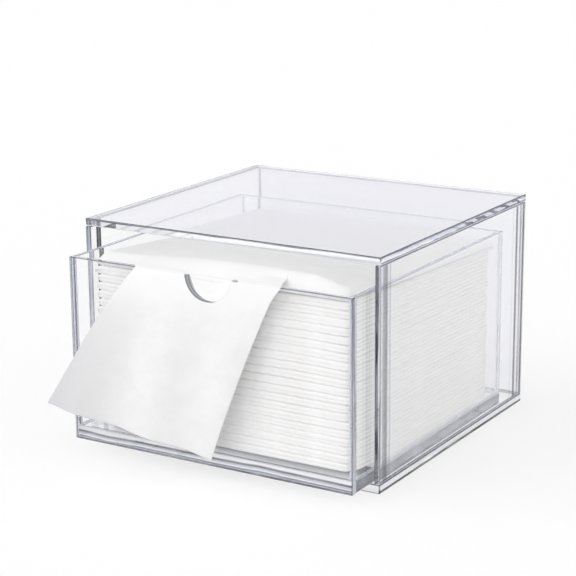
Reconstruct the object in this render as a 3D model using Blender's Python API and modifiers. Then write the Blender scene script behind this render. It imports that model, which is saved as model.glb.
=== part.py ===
"""Clear drawer box for face towels: a bonded sheet case, a drawer with a finger notch, and its towels.

Run with blender --background --python part.py, or from Blender's text editor.
Metres, +Z up. The origin is the centre of the case's underside, and the drawer opens towards -Y.
It is modelled with the drawer a little open and one towel pulled out over its front.
"""

import math
import random

import bmesh
import bpy
from mathutils import Vector

MM = 0.001

# Case, outside
CASE_WIDTH = 220 * MM
CASE_DEPTH = 210 * MM
CASE_HEIGHT = 150 * MM
CASE_TOP_SHEET = 5 * MM
CASE_BASE_SHEET = 6 * MM
CASE_WALL_SHEET = 4 * MM

# Drawer, and how it runs in the case
TOWEL_GAP_HEIGHT = 15 * MM
DRAWER_SIDE_GAP = 1.2 * MM
DRAWER_RUNNING_GAP = 0.5 * MM
DRAWER_REAR_GAP = 2 * MM
DRAWER_FRONT_SHEET = 4 * MM
DRAWER_WALL_SHEET = 3.5 * MM
DRAWER_FLOOR_SHEET = 8.5 * MM
DRAWER_OPEN_AT_REST = 25 * MM

# Finger notch in the top edge of the drawer's front
NOTCH_RADIUS = 17.5 * MM
NOTCH_CENTRE_ABOVE_EDGE = 2 * MM
NOTCH_RIGHT_OF_MIDDLE = 3.5 * MM
NOTCH_SIDES = 64

# Sheet joints and edges
BOND_GAP = 0.3 * MM
EDGE_POLISH = 0.45 * MM

# Stack of towels, each folded once with its fold to the front
TOWEL_COUNT = 20
SPACE_LEFT_OF_STACK = 15.2 * MM
SPACE_RIGHT_OF_STACK = 1.4 * MM
SPACE_BEFORE_STACK = 2.2 * MM
SPACE_BEHIND_STACK = 3.3 * MM
STACK_BELOW_FRONT_EDGE = 4.65 * MM
STACK_DROP_TO_BACK = 7 * MM
FOLD_LENGTH = 2.4 * MM
LEAF_GAP = 0.75 * MM
SOFT_GAP = 0.35 * MM
TOWEL_STRAY = 0.7 * MM

# Top towel, which bulges up behind the drawer's front
TOP_LEAF = 1.6 * MM
TOP_LEAF_GAP = 0.6 * MM
TOP_FOLD_LENGTH = 5 * MM
BULGE_HEIGHT = 9.4 * MM
BULGE_LENGTH = 125 * MM
BULGE_LEFT_AT_BACK = 0.15
BULGE_LEFT_END = 0.55
BULGE_RIGHT_END = 0.25
CREST_FROM = 0.6
CREST_TO = 0.84

# Pulled towel: from the top of the bulge, over the drawer's front edge and down
PULLED_WIDTH = 108 * MM
PULLED_THICKNESS = 1.2 * MM
PULLED_GAP = 0.45 * MM
PULLED_LEFT_AT_EDGE = 54 * MM
PULLED_TAIL_BEHIND_FRONT = 92 * MM
PULLED_SLANT_ON_BULGE = 0.3
PULLED_EDGE_RADIUS = 2 * MM
PULLED_NOTCH_SAG = 2 * MM
PULLED_LEAN = 48.7 * MM
PULLED_LEFT_CORNER_HEIGHT = 34.7 * MM
PULLED_RIGHT_CORNER_HEIGHT = 7 * MM
PULLED_LEFT_FLARE = 33 * MM
PULLED_RIGHT_FLARE = 4 * MM
PULLED_FLARE_CURVE = 1.8
PULLED_FOLDS = 2.6
PULLED_FOLD_TWIST = 0.5
PULLED_FOLD_DEPTH = 2.2 * MM

# Places worked out from the sizes above
DRAWER_WIDTH = CASE_WIDTH - 2 * (CASE_WALL_SHEET + DRAWER_SIDE_GAP)
DRAWER_LENGTH = CASE_DEPTH - CASE_WALL_SHEET - DRAWER_REAR_GAP
DRAWER_BOTTOM = CASE_BASE_SHEET + DRAWER_RUNNING_GAP
DRAWER_HEIGHT = CASE_HEIGHT - CASE_TOP_SHEET - TOWEL_GAP_HEIGHT - DRAWER_BOTTOM
DRAWER_PLACE = Vector((0, -CASE_DEPTH / 2 - DRAWER_OPEN_AT_REST, DRAWER_BOTTOM))
DRAWER_INNER_X = DRAWER_WIDTH / 2 - DRAWER_WALL_SHEET

TOWEL_LEFT = -DRAWER_INNER_X + SPACE_LEFT_OF_STACK
TOWEL_RIGHT = DRAWER_INNER_X - SPACE_RIGHT_OF_STACK
TOWEL_WIDTH = TOWEL_RIGHT - TOWEL_LEFT
TOWEL_FRONT = DRAWER_FRONT_SHEET + SPACE_BEFORE_STACK
TOWEL_BACK = DRAWER_LENGTH - DRAWER_WALL_SHEET - SPACE_BEHIND_STACK
STACK_BOTTOM = DRAWER_FLOOR_SHEET + SOFT_GAP
STACK_HEIGHT = DRAWER_HEIGHT - STACK_BOTTOM - STACK_BELOW_FRONT_EDGE
TOWEL_LEAF = ((STACK_HEIGHT - STACK_DROP_TO_BACK) / TOWEL_COUNT - SOFT_GAP - LEAF_GAP) / 2


def clear_scene():
    for old in list(bpy.data.objects):
        bpy.data.objects.remove(old, do_unlink=True)


def new_collection(name):
    collection = bpy.data.collections.new(name)
    bpy.context.scene.collection.children.link(collection)
    return collection


def new_material(name, colour, roughness, transmission=0.0, ior=1.45):
    material = bpy.data.materials.new(name)
    material.use_nodes = True
    shader = material.node_tree.nodes["Principled BSDF"]
    shader.inputs["Base Color"].default_value = (*colour, 1.0)
    shader.inputs["Roughness"].default_value = roughness
    shader.inputs["Metallic"].default_value = 0.0
    shader.inputs["Transmission Weight"].default_value = transmission
    shader.inputs["IOR"].default_value = ior
    return material


def new_mesh(cage, name):
    """The cage as a mesh. The cage is freed."""
    mesh = bpy.data.meshes.new(name)
    cage.to_mesh(mesh)
    cage.free()
    return mesh


def add_object(name, mesh, material, collection, parent=None):
    mesh.materials.append(material)
    piece = bpy.data.objects.new(name, mesh)
    piece.parent = parent
    collection.objects.link(piece)
    return piece


def add_sheet(name, low, high, material, collection, parent=None):
    """A flat sheet between two corners."""
    low = Vector(low)
    high = Vector(high)
    cage = bmesh.new()
    bmesh.ops.create_cube(cage, size=1)
    bmesh.ops.scale(cage, vec=high - low, verts=cage.verts)
    sheet = add_object(name, new_mesh(cage, name), material, collection, parent)
    sheet.location = (low + high) / 2
    return sheet


def polish_edges(sheet):
    """The small round that flame polishing leaves on each edge of a cut sheet."""
    bevel = sheet.modifiers.new("polished_edges", "BEVEL")
    bevel.width = EDGE_POLISH
    bevel.segments = 2
    bevel.limit_method = "ANGLE"
    bevel.angle_limit = math.radians(40)


def build_case(material, collection):
    """Base, three walls and top. The walls stand on the base and carry the top."""
    x = CASE_WIDTH / 2
    y = CASE_DEPTH / 2
    inner_x = x - CASE_WALL_SHEET
    inner_y = y - CASE_WALL_SHEET
    back_x = inner_x - BOND_GAP
    foot = CASE_BASE_SHEET + BOND_GAP
    head = CASE_HEIGHT - CASE_TOP_SHEET - BOND_GAP
    corners = {
        "case_base": ((-x, -y, 0), (x, y, CASE_BASE_SHEET)),
        "case_left_wall": ((-x, -y, foot), (-inner_x, y, head)),
        "case_right_wall": ((inner_x, -y, foot), (x, y, head)),
        "case_back_wall": ((-back_x, inner_y, foot), (back_x, y, head)),
        "case_top": ((-x, -y, CASE_HEIGHT - CASE_TOP_SHEET), (x, y, CASE_HEIGHT)),
    }
    for name, (low, high) in corners.items():
        polish_edges(add_sheet(name, low, high, material, collection))


def build_drawer(material, collection, cutters, slide):
    """Floor, two sides, back and notched front.

    The drawer's own frame has its origin at the middle of the front sheet's lower outer edge.
    """
    x = DRAWER_WIDTH / 2
    y = DRAWER_LENGTH
    inner_x = DRAWER_INNER_X
    inner_y = y - DRAWER_WALL_SHEET
    back_x = inner_x - BOND_GAP
    behind_front = DRAWER_FRONT_SHEET + BOND_GAP
    foot = DRAWER_FLOOR_SHEET + BOND_GAP
    head = DRAWER_HEIGHT
    corners = {
        "drawer_floor": ((-x, behind_front, 0), (x, y, DRAWER_FLOOR_SHEET)),
        "drawer_left_wall": ((-x, behind_front, foot), (-inner_x, y, head)),
        "drawer_right_wall": ((inner_x, behind_front, foot), (x, y, head)),
        "drawer_back_wall": ((-back_x, inner_y, foot), (back_x, y, head)),
        "drawer_front": ((-x, 0, 0), (x, DRAWER_FRONT_SHEET, head)),
    }
    for name, (low, high) in corners.items():
        sheet = add_sheet(name, low, high, material, collection, slide)
        if name == "drawer_front":
            cut_notch(sheet, cutters, slide)
        polish_edges(sheet)


def cut_notch(front, cutters, slide):
    """The half-round finger notch, cut by a cylinder that lies across the front sheet."""
    cage = bmesh.new()
    bmesh.ops.create_cone(
        cage,
        cap_ends=True,
        segments=NOTCH_SIDES,
        radius1=NOTCH_RADIUS,
        radius2=NOTCH_RADIUS,
        depth=3 * DRAWER_FRONT_SHEET,
    )
    cutter = bpy.data.objects.new("notch_cutter", new_mesh(cage, "notch_cutter"))
    cutter.parent = slide
    centre_z = DRAWER_HEIGHT + NOTCH_CENTRE_ABOVE_EDGE
    cutter.location = (NOTCH_RIGHT_OF_MIDDLE, DRAWER_FRONT_SHEET / 2, centre_z)
    cutter.rotation_euler = (math.radians(90), 0, 0)
    cutter.hide_render = True
    cutter.display_type = "WIRE"
    cutters.objects.link(cutter)
    cut = front.modifiers.new("finger_notch", "BOOLEAN")
    cut.operation = "DIFFERENCE"
    cut.solver = "EXACT"
    cut.object = cutter


def smooth_step(value):
    value = min(max(value, 0.0), 1.0)
    return value * value * (3 - 2 * value)


def add_cloth(name, columns, rows, place, thickness, material, collection, slide):
    """A cloth bent from a flat grid and given its thickness.

    place(across, row) gives the middle of the cloth, with across from 0 at the left to 1.
    """
    cage = bmesh.new()
    bmesh.ops.create_grid(cage, x_segments=columns, y_segments=rows, size=0.5)
    for point in cage.verts:
        row = round((point.co.y + 0.5) * rows)
        point.co = place(point.co.x + 0.5, row)
    bmesh.ops.recalc_face_normals(cage, faces=cage.faces)
    mesh = new_mesh(cage, name)
    mesh.shade_smooth()
    cloth = add_object(name, mesh, material, collection, slide)
    solid = cloth.modifiers.new("cloth_thickness", "SOLIDIFY")
    solid.thickness = thickness
    solid.offset = 0
    solid.use_even_offset = True


def hairpin(row, leaf_rows, fold_rows):
    """Where a row of points lies on a towel that is folded once.

    Returns the share of the leaf's depth behind the fold, and the turn round the fold,
    from a quarter turn down on the lower leaf to a quarter turn up on the upper leaf.
    """
    quarter = math.pi / 2
    if row <= leaf_rows:
        return 1 - row / leaf_rows, -quarter
    if row >= leaf_rows + fold_rows:
        return (row - leaf_rows - fold_rows) / leaf_rows, quarter
    return 0.0, -quarter + math.pi * (row - leaf_rows) / fold_rows


def stack_height(y):
    """Height of the whole stack, which is less over the towels' loose edges at the back."""
    share = (y - TOWEL_FRONT) / (TOWEL_BACK - TOWEL_FRONT)
    return STACK_HEIGHT - share * STACK_DROP_TO_BACK


def stacked_towel(index, stray, leaf_rows, fold_rows):
    """The place function of one towel, a little out of line with the others."""
    shift_x = stray.uniform(-1, 1) * TOWEL_STRAY
    shift_y = stray.uniform(0, 1) * TOWEL_STRAY
    slack = stray.uniform(0, 1) * TOWEL_STRAY
    wave_start = stray.uniform(0, math.tau)
    middle_x = (TOWEL_LEFT + TOWEL_RIGHT) / 2 + shift_x
    fold_y = TOWEL_FRONT + TOWEL_STRAY / 2 + TOWEL_LEAF / 2 + FOLD_LENGTH + shift_y
    leaf_depth = TOWEL_BACK - TOWEL_STRAY / 2 - fold_y

    def place(across, row):
        share, turn = hairpin(row, leaf_rows, fold_rows)
        wave = slack / 2 * math.sin(math.tau * across + wave_start)
        x = middle_x + (across - 0.5) * (TOWEL_WIDTH - slack)
        y = fold_y + wave + share * leaf_depth - FOLD_LENGTH * math.cos(turn)
        pitch = stack_height(y) / TOWEL_COUNT
        middle_z = STACK_BOTTOM + (index + 0.5) * pitch - SOFT_GAP / 2
        half_spread = (pitch - SOFT_GAP - TOWEL_LEAF) / 2
        return Vector((x, y, middle_z + half_spread * math.sin(turn)))

    return place


def build_towel_stack(material, collection, slide):
    columns = 5
    leaf_rows = 2
    fold_rows = 4
    rows = 2 * leaf_rows + fold_rows
    stray = random.Random(7)
    for index in range(TOWEL_COUNT):
        place = stacked_towel(index, stray, leaf_rows, fold_rows)
        name = f"towel_{index + 1:02d}"
        add_cloth(name, columns, rows, place, TOWEL_LEAF, material, collection, slide)


def lower_top_leaf(y):
    """Middle of the top towel's lower leaf, which lies on the stack."""
    return STACK_BOTTOM + stack_height(y) + TOP_LEAF / 2


def upper_top_leaf(x, y):
    """Middle of the top towel's upper leaf, arched from side to side and highest at the front.

    It rises from the left end to a long crest and drops more steeply to the right end.
    """
    across = (x - TOWEL_LEFT) / TOWEL_WIDTH
    rise = BULGE_LEFT_END + (1 - BULGE_LEFT_END) * smooth_step(across / CREST_FROM)
    drop = (1 - BULGE_RIGHT_END) * smooth_step((across - CREST_TO) / (1 - CREST_TO))
    lengthways = 1 - (1 - BULGE_LEFT_AT_BACK) * smooth_step((y - TOWEL_FRONT) / BULGE_LENGTH)
    return lower_top_leaf(y) + TOP_LEAF + TOP_LEAF_GAP + BULGE_HEIGHT * rise * (1 - drop) * lengthways


def build_top_towel(material, collection, slide):
    """The loose towel on the stack, whose upper leaf arches up over a wide round fold."""
    columns = 24
    leaf_rows = 9
    fold_rows = 6
    rows = 2 * leaf_rows + fold_rows
    rows_crowd_to_fold = 1.3
    fold_y = TOWEL_FRONT + TOP_LEAF / 2 + TOP_FOLD_LENGTH
    leaf_depth = TOWEL_BACK - fold_y

    def place(across, row):
        share, turn = hairpin(row, leaf_rows, fold_rows)
        x = TOWEL_LEFT + across * TOWEL_WIDTH
        y = fold_y + share**rows_crowd_to_fold * leaf_depth - TOP_FOLD_LENGTH * math.cos(turn)
        low = lower_top_leaf(y)
        high = upper_top_leaf(x, y)
        return Vector((x, y, (low + high) / 2 + (high - low) / 2 * math.sin(turn)))

    add_cloth("top_towel", columns, rows, place, TOP_LEAF, material, collection, slide)


def notch_sag(x):
    """How far the pulled towel dips where it spans the finger notch."""
    reach = min(abs(x - NOTCH_RIGHT_OF_MIDDLE) / NOTCH_RADIUS, 1)
    return PULLED_NOTCH_SAG * (1 - reach * reach)


def build_pulled_towel(material, collection, slide):
    """The towel that is pulled out: on the bulge, round the front's top edge, then hanging.

    It leans to the left as it hangs, and its lower left corner stands off towards the viewer.
    """
    columns = 18
    bulge_rows = 8
    edge_rows = 5
    hanging_rows = 11
    rows = bulge_rows + edge_rows + hanging_rows
    first_turn = math.radians(10)
    last_turn = math.radians(85)
    clear = PULLED_THICKNESS / 2 + PULLED_GAP
    crest_y = TOWEL_FRONT + TOP_FOLD_LENGTH / 2
    left = -DRAWER_WIDTH / 2 + PULLED_LEFT_AT_EDGE
    low_left = Vector((left - PULLED_LEAN, -PULLED_LEFT_FLARE, PULLED_LEFT_CORNER_HEIGHT))
    low_right = Vector((left - PULLED_LEAN, -PULLED_RIGHT_FLARE, PULLED_RIGHT_CORNER_HEIGHT))
    low_right.x += PULLED_WIDTH

    def on_bulge(x, behind):
        y = crest_y + behind * (PULLED_TAIL_BEHIND_FRONT - crest_y)
        x += PULLED_SLANT_ON_BULGE * y
        return Vector((x, y, upper_top_leaf(x, y) + TOP_LEAF / 2 + clear))

    def round_edge(x, turn):
        y = PULLED_EDGE_RADIUS * (1 - math.sin(turn)) - clear
        z = DRAWER_HEIGHT - PULLED_EDGE_RADIUS * (1 - math.cos(turn)) + clear
        return Vector((x, y, z - notch_sag(x)))

    def hanging(x, across, down):
        top = round_edge(x, last_turn)
        bottom = low_left.lerp(low_right, across)
        point = top.lerp(bottom, down)
        point.y = top.y + (bottom.y - top.y) * down**PULLED_FLARE_CURVE
        wave = math.sin(math.pi * (PULLED_FOLDS * across + PULLED_FOLD_TWIST * down))
        point.y -= PULLED_FOLD_DEPTH * wave * wave * smooth_step(2 * down)
        return point

    def place(across, row):
        x = left + across * PULLED_WIDTH
        if row <= bulge_rows:
            return on_bulge(x, 1 - row / bulge_rows)
        row -= bulge_rows
        if row <= edge_rows:
            turned = (row - 1) / (edge_rows - 1)
            return round_edge(x, first_turn + turned * (last_turn - first_turn))
        return hanging(x, across, (row - edge_rows) / hanging_rows)

    add_cloth("pulled_towel", columns, rows, place, PULLED_THICKNESS, material, collection, slide)


def build():
    clear_scene()
    parts = new_collection("face_towel_box")
    cutters = new_collection("cutters")
    clear_sheet = new_material("clear_sheet", (0.93, 0.95, 0.98), 0.03, transmission=1.0, ior=1.49)
    towel_cloth = new_material("towel_cloth", (0.93, 0.93, 0.92), 0.9)
    build_case(clear_sheet, parts)
    slide = bpy.data.objects.new("drawer_slide", None)
    slide.location = DRAWER_PLACE
    parts.objects.link(slide)
    build_drawer(clear_sheet, parts, cutters, slide)
    build_towel_stack(towel_cloth, parts, slide)
    build_top_towel(towel_cloth, parts, slide)
    build_pulled_towel(towel_cloth, parts, slide)


build()
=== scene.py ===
"""Looks of a clear drawer box for face towels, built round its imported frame.

Metres, +Z up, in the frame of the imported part: the origin is the centre of the case's underside, and the
drawer opens towards -Y. The case and the drawer are flat clear sheets with polished edges. The drawer holds a
stack of folded towels, a loose one on top, and one that is pulled out and hangs over the drawer's front.
"""

import json
import logging
import math
import random
from abc import ABC, abstractmethod
from collections.abc import Callable, Iterable
from dataclasses import dataclass, field
from enum import Enum, IntEnum

import bmesh
import bpy
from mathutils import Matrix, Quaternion, Vector, noise


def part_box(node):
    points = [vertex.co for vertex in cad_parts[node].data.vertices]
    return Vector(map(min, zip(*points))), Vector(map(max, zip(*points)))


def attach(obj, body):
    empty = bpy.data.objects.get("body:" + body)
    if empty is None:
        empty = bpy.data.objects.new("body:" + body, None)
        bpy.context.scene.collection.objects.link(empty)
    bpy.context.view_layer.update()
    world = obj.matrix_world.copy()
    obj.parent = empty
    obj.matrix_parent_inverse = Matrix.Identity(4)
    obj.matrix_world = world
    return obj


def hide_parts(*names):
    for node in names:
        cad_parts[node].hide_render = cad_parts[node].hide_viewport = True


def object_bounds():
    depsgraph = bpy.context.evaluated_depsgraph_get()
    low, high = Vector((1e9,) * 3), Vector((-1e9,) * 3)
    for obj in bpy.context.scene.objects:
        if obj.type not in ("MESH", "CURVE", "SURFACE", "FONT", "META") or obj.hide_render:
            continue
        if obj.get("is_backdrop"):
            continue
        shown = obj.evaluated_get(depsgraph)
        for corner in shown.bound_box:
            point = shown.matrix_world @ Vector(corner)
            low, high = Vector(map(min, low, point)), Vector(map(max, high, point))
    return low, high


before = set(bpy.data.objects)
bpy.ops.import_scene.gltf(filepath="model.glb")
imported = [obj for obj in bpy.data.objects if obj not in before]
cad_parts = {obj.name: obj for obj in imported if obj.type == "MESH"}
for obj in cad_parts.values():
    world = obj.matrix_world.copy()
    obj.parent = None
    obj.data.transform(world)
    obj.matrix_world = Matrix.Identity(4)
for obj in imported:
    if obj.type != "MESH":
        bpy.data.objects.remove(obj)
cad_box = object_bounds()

MM = 0.001
# A face looks along an axis where its normal reaches so far along it.
SQUARELY = 0.9
MOSTLY = 0.7
BODY_OF_CLOTH = "body_of_cloth"
LOG = logging.getLogger("towel_box")

Duo = tuple[float, float]
Triple = tuple[float, float, float]
Bands = tuple[Duo, ...]
Place = Callable[[float, float], Vector]
Socket = bpy.types.NodeSocket
Outputs = bpy.types.bpy_prop_collection
Input = Socket | float | Triple

WHITE: Triple = (1.0, 1.0, 1.0)


class Body(Enum):
    """The bodies that pieces ride on."""

    CASE = "case"
    DRAWER = "drawer"


class Slot(Enum):
    """The record's material slots."""

    CLEAR_SHEET = "clear_sheet"
    TOWEL_CLOTH = "towel_cloth"


class Hold(Enum):
    """How a towel is held."""

    FOLDED = "folded"
    DRAPED = "draped"


class Facing(Enum):
    """The ways that a sheet's narrow faces look, where they have bands of their own."""

    FRONT = "front"
    RIGHT = "right"


class Look(IntEnum):
    """The order of a sheet's finishes. Those of narrow faces with bands of their own come last."""

    FACE = 0
    EDGE = 1
    ARRIS = 2
    FACING = 3


def smooth_step(value: float) -> float:
    """Eases from 0 to 1, and stays there outside that range."""
    value = min(max(value, 0.0), 1.0)
    return value * value * (3 - 2 * value)


def mix(low: float, high: float, share: float) -> float:
    """The value at a share of the way from low to high."""
    return low + (high - low) * share


def uneven(x: float, y: float, layer: float) -> float:
    """Smooth noise between -1 and 1, in a layer of its own for each use."""
    return noise.noise(Vector((x, y, layer)))


def uneven_share(x: float, y: float, layer: float) -> float:
    """Smooth noise between 0 and 1."""
    return 0.5 + 0.5 * uneven(x, y, layer)


def rounded_between(crest: Vector, foot: Vector, share: float, roundness: float) -> Vector:
    """A point on a full round front, between its crest and its foot.

    Args:
        crest: The highest point.
        foot: The lowest point, which is the furthest forward.
        share: The share of the way down, 0 at the crest and 1 at the foot.
        roundness: How full the front is. At 1 it is straight.

    Returns:
        The point.
    """
    point = crest.lerp(foot, share)
    point.y = mix(crest.y, foot.y, 1 - (1 - share) ** (1 / roundness))
    point.z = mix(crest.z, foot.z, 1 - (1 - share**roundness) ** (1 / roundness))
    return point


def round_fold(along: float, leaf_share: float) -> Duo:
    """Where a point of a cloth lies that is folded once, with two equal leaves.

    Args:
        along: The share of the way along the flat cloth, from the lower leaf's back edge.
        leaf_share: The share of the cloth's length that each leaf has.

    Returns:
        The share of the way out on its leaf, which is 0 in the fold, and the turn round the fold, which is a
        quarter turn up at the upper leaf and down at the lower.
    """
    share = max(leaf_share - along, along - 1 + leaf_share, 0.0) / leaf_share
    round_it = min(max((along - leaf_share) / (1 - 2 * leaf_share), 0.0), 1.0)
    return share, math.pi * (round_it - 0.5)


def signed_power(value: float, power: float) -> float:
    """A power of a value's size, with the value's own sign."""
    return math.copysign(abs(value) ** power, value)


def rounded_end(inwards: float) -> float:
    """How thick a rounded end is: full where it starts, at 0, and nearly nothing at the very end, at 1."""
    return math.sqrt(1 - 0.98 * inwards * inwards)


class Wiring:
    """A node tree that is being wired."""

    def __init__(self, tree: bpy.types.NodeTree) -> None:
        """Takes the tree, and empties it."""
        self.tree = tree
        tree.nodes.clear()

    def add(self, kind: str, inputs: dict | None = None, **settings: object) -> bpy.types.Node:
        """Adds a node.

        Args:
            kind: Blender's name of the kind of node.
            inputs: For each input, by name or number, its value or the socket that feeds it.
            **settings: The node's own properties.

        Returns:
            The new node.
        """
        node = self.tree.nodes.new(kind)
        for name, value in settings.items():
            setattr(node, name, value)
        for name, value in (inputs or {}).items():
            socket = node.inputs[name]
            if isinstance(value, bpy.types.NodeSocket):
                self.tree.links.new(value, socket)
            elif socket.type == "RGBA" and len(value) == 3:
                socket.default_value = (*value, 1.0)
            else:
                socket.default_value = value
        return node

    def math(self, operation: str, *values: Input) -> Socket:
        """Adds a Math node, and returns its output."""
        return self.add("ShaderNodeMath", dict(enumerate(values)), operation=operation).outputs[0]

    def fit(self, value: Socket, low: Input, high: Input, to_low: float = 0, to_high: float = 1) -> Socket:
        """Maps a value smoothly from one range to another, and returns the mapped value."""
        inputs = {"Value": value, "From Min": low, "From Max": high, "To Min": to_low, "To Max": to_high}
        return self.add("ShaderNodeMapRange", inputs, interpolation_type="SMOOTHSTEP").outputs["Result"]

    def where(self, kind: str) -> Outputs:
        """The X, Y and Z of each place in the texture coordinates of a kind, such as UV or Object."""
        coordinates = self.add("ShaderNodeTexCoord").outputs[kind]
        return self.add("ShaderNodeSeparateXYZ", {0: coordinates}).outputs

    def stretched(self, where: Socket, turned: Triple, scale: Triple) -> Socket:
        """Turns and stretches coordinates."""
        return self.add("ShaderNodeMapping", {"Vector": where, "Rotation": turned, "Scale": scale}).outputs[0]

    def noise(self, where: Socket, scale: Input, detail: float, **more: float) -> Socket:
        """Adds smooth noise.

        Args:
            where: The place, or a single value for noise along a line.
            scale: How fine the noise is.
            detail: How many finer layers it has.
            **more: Values of the node's other inputs.

        Returns:
            The noise.
        """
        along_line = where.type == "VALUE"
        inputs = {"W" if along_line else "Vector": where, "Scale": scale, "Detail": detail}
        inputs |= {name.capitalize(): value for name, value in more.items()}
        node = self.add("ShaderNodeTexNoise", inputs, noise_dimensions="1D" if along_line else "3D")
        return node.outputs["Fac"]

    def mix(self, share: Socket, base: Input, colour: Input, blend: str = "MIX") -> Socket:
        """Mixes a share of a colour into another, and returns the mixed colour."""
        # Mix has an input A and B for each type of data, and those of colours are numbers 6 and 7.
        inputs = {"Factor": share, 6: base, 7: colour}
        return self.add("ShaderNodeMix", inputs, data_type="RGBA", blend_type=blend).outputs[2]


def new_material(name: str) -> tuple[bpy.types.Material, Wiring]:
    """Makes a material.

    Args:
        name: The material's name.

    Returns:
        The material, and its tree to be wired.
    """
    made = bpy.data.materials.new(name)
    made.use_nodes = True
    return made, Wiring(made.node_tree)


class SurfaceEffect(ABC):
    """An effect of a surface, which is built once as a node group and placed in each material."""

    name: str
    inputs: dict[str, float]
    outputs: tuple[str, ...]

    def group(self) -> bpy.types.NodeTree:
        """Builds the group, the first time that it is asked for.

        Returns:
            The group.
        """
        found = bpy.data.node_groups.get(self.name)
        if found:
            return found
        tree = bpy.data.node_groups.new(self.name, "ShaderNodeTree")
        wiring = Wiring(tree)
        for name, value in self.inputs.items():
            socket = tree.interface.new_socket(name=name, in_out="INPUT", socket_type="NodeSocketFloat")
            socket.default_value = value
        for name in self.outputs:
            tree.interface.new_socket(name=name, in_out="OUTPUT", socket_type="NodeSocketFloat")
        wiring.add("NodeGroupOutput", self.wire(wiring, wiring.add("NodeGroupInput").outputs))
        return tree

    @abstractmethod
    def wire(self, wiring: Wiring, given: Outputs) -> dict[str, Socket]:
        """Wires the effect.

        Args:
            wiring: The group's tree.
            given: The group's inputs.

        Returns:
            The socket of each output, by name.
        """

    def place(self, wiring: Wiring, **values: float) -> Outputs:
        """Places the group in a material.

        Args:
            wiring: The material's tree.
            **values: Values of the group's inputs, with _ for a space.

        Returns:
            The group's outputs.
        """
        named = {name.replace("_", " ").capitalize(): value for name, value in values.items()}
        return wiring.add("ShaderNodeGroup", named, node_tree=self.group()).outputs


class HandledSheet(SurfaceEffect):
    """Faint wipe marks and hairlines of a clear sheet that has been handled."""

    name = "handled_sheet"
    inputs = {"Smudge size": 40.0, "Hairline size": 260.0, "Hairlines": 0.25}
    outputs = ("Wear", "Height")

    def wire(self, wiring: Wiring, given: Outputs) -> dict[str, Socket]:
        """Mixes broad smudges with fine stretched hairlines.

        Args:
            wiring: The group's tree.
            given: The group's inputs.

        Returns:
            The socket of each output, by name.
        """
        where = wiring.add("ShaderNodeTexCoord").outputs["Object"]
        broad = wiring.fit(wiring.noise(where, given["Smudge size"], 3.0, distortion=0.6), 0.52, 0.78)
        stretched = wiring.stretched(where, (0.3, 0.7, 0.4), (1, 0.06, 0.06))
        thin = wiring.fit(wiring.noise(stretched, given["Hairline size"], 1.0), 0.70, 0.80)
        hairlines = wiring.math("MULTIPLY", thin, given["Hairlines"])
        return {"Wear": wiring.math("MAXIMUM", broad, hairlines), "Height": hairlines}


class EdgeBands(SurfaceEffect):
    """Bands of light and shade that run along a polished edge and drift a little across it."""

    name = "edge_bands"
    inputs = {"Wobble": 0.15, "Drift length": 60 * MM, "Seed": 0.0}
    outputs = ("Across", "Along")

    def wire(self, wiring: Wiring, given: Outputs) -> dict[str, Socket]:
        """Shifts the place across the edge by a slow noise along it.

        Args:
            wiring: The group's tree.
            given: The group's inputs.

        Returns:
            The socket of each output, by name.
        """
        where = wiring.where("UV")
        along = wiring.math("DIVIDE", where["X"], given["Drift length"])
        seeded = wiring.math("ADD", along, given["Seed"])
        drift = wiring.math("SUBTRACT", wiring.noise(seeded, 1.0, 2.0), 0.5)
        shift = wiring.math("MULTIPLY", drift, wiring.math("MULTIPLY", given["Wobble"], 2.0))
        # The patches are read far along the same noise, so that they don't follow the drift.
        patches = wiring.noise(wiring.math("ADD", seeded, 37.0), 1.6, 1.0)
        return {"Across": wiring.math("ADD", where["Y"], shift), "Along": wiring.fit(patches, 0.35, 0.65)}


class EdgeStripes(SurfaceEffect):
    """Slanting stripes in a polished edge, where it mirrors the far corner."""

    name = "edge_stripes"
    inputs = {"Stripe length": 19 * MM, "Slant": 0.9, "From": 85 * MM, "Full at": 125 * MM}
    outputs = ("Stripes",)

    def wire(self, wiring: Wiring, given: Outputs) -> dict[str, Socket]:
        """Bends a wave along the edge by a slow noise.

        Args:
            wiring: The group's tree.
            given: The group's inputs.

        Returns:
            The socket of each output, by name.
        """
        where = wiring.where("UV")
        along = wiring.math("ABSOLUTE", where["X"])
        turns = wiring.math("DIVIDE", along, given["Stripe length"])
        slanted = wiring.math("ADD", turns, wiring.math("MULTIPLY", where["Y"], given["Slant"]))
        bent = wiring.math("ADD", slanted, wiring.noise(turns, 1.1, 1.0))
        wave = wiring.math("SINE", wiring.math("MULTIPLY", bent, math.tau))
        reach = wiring.fit(along, given["From"], given["Full at"])
        return {"Stripes": wiring.math("MULTIPLY", wiring.fit(wave, 0.2, 0.7), reach)}


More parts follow.
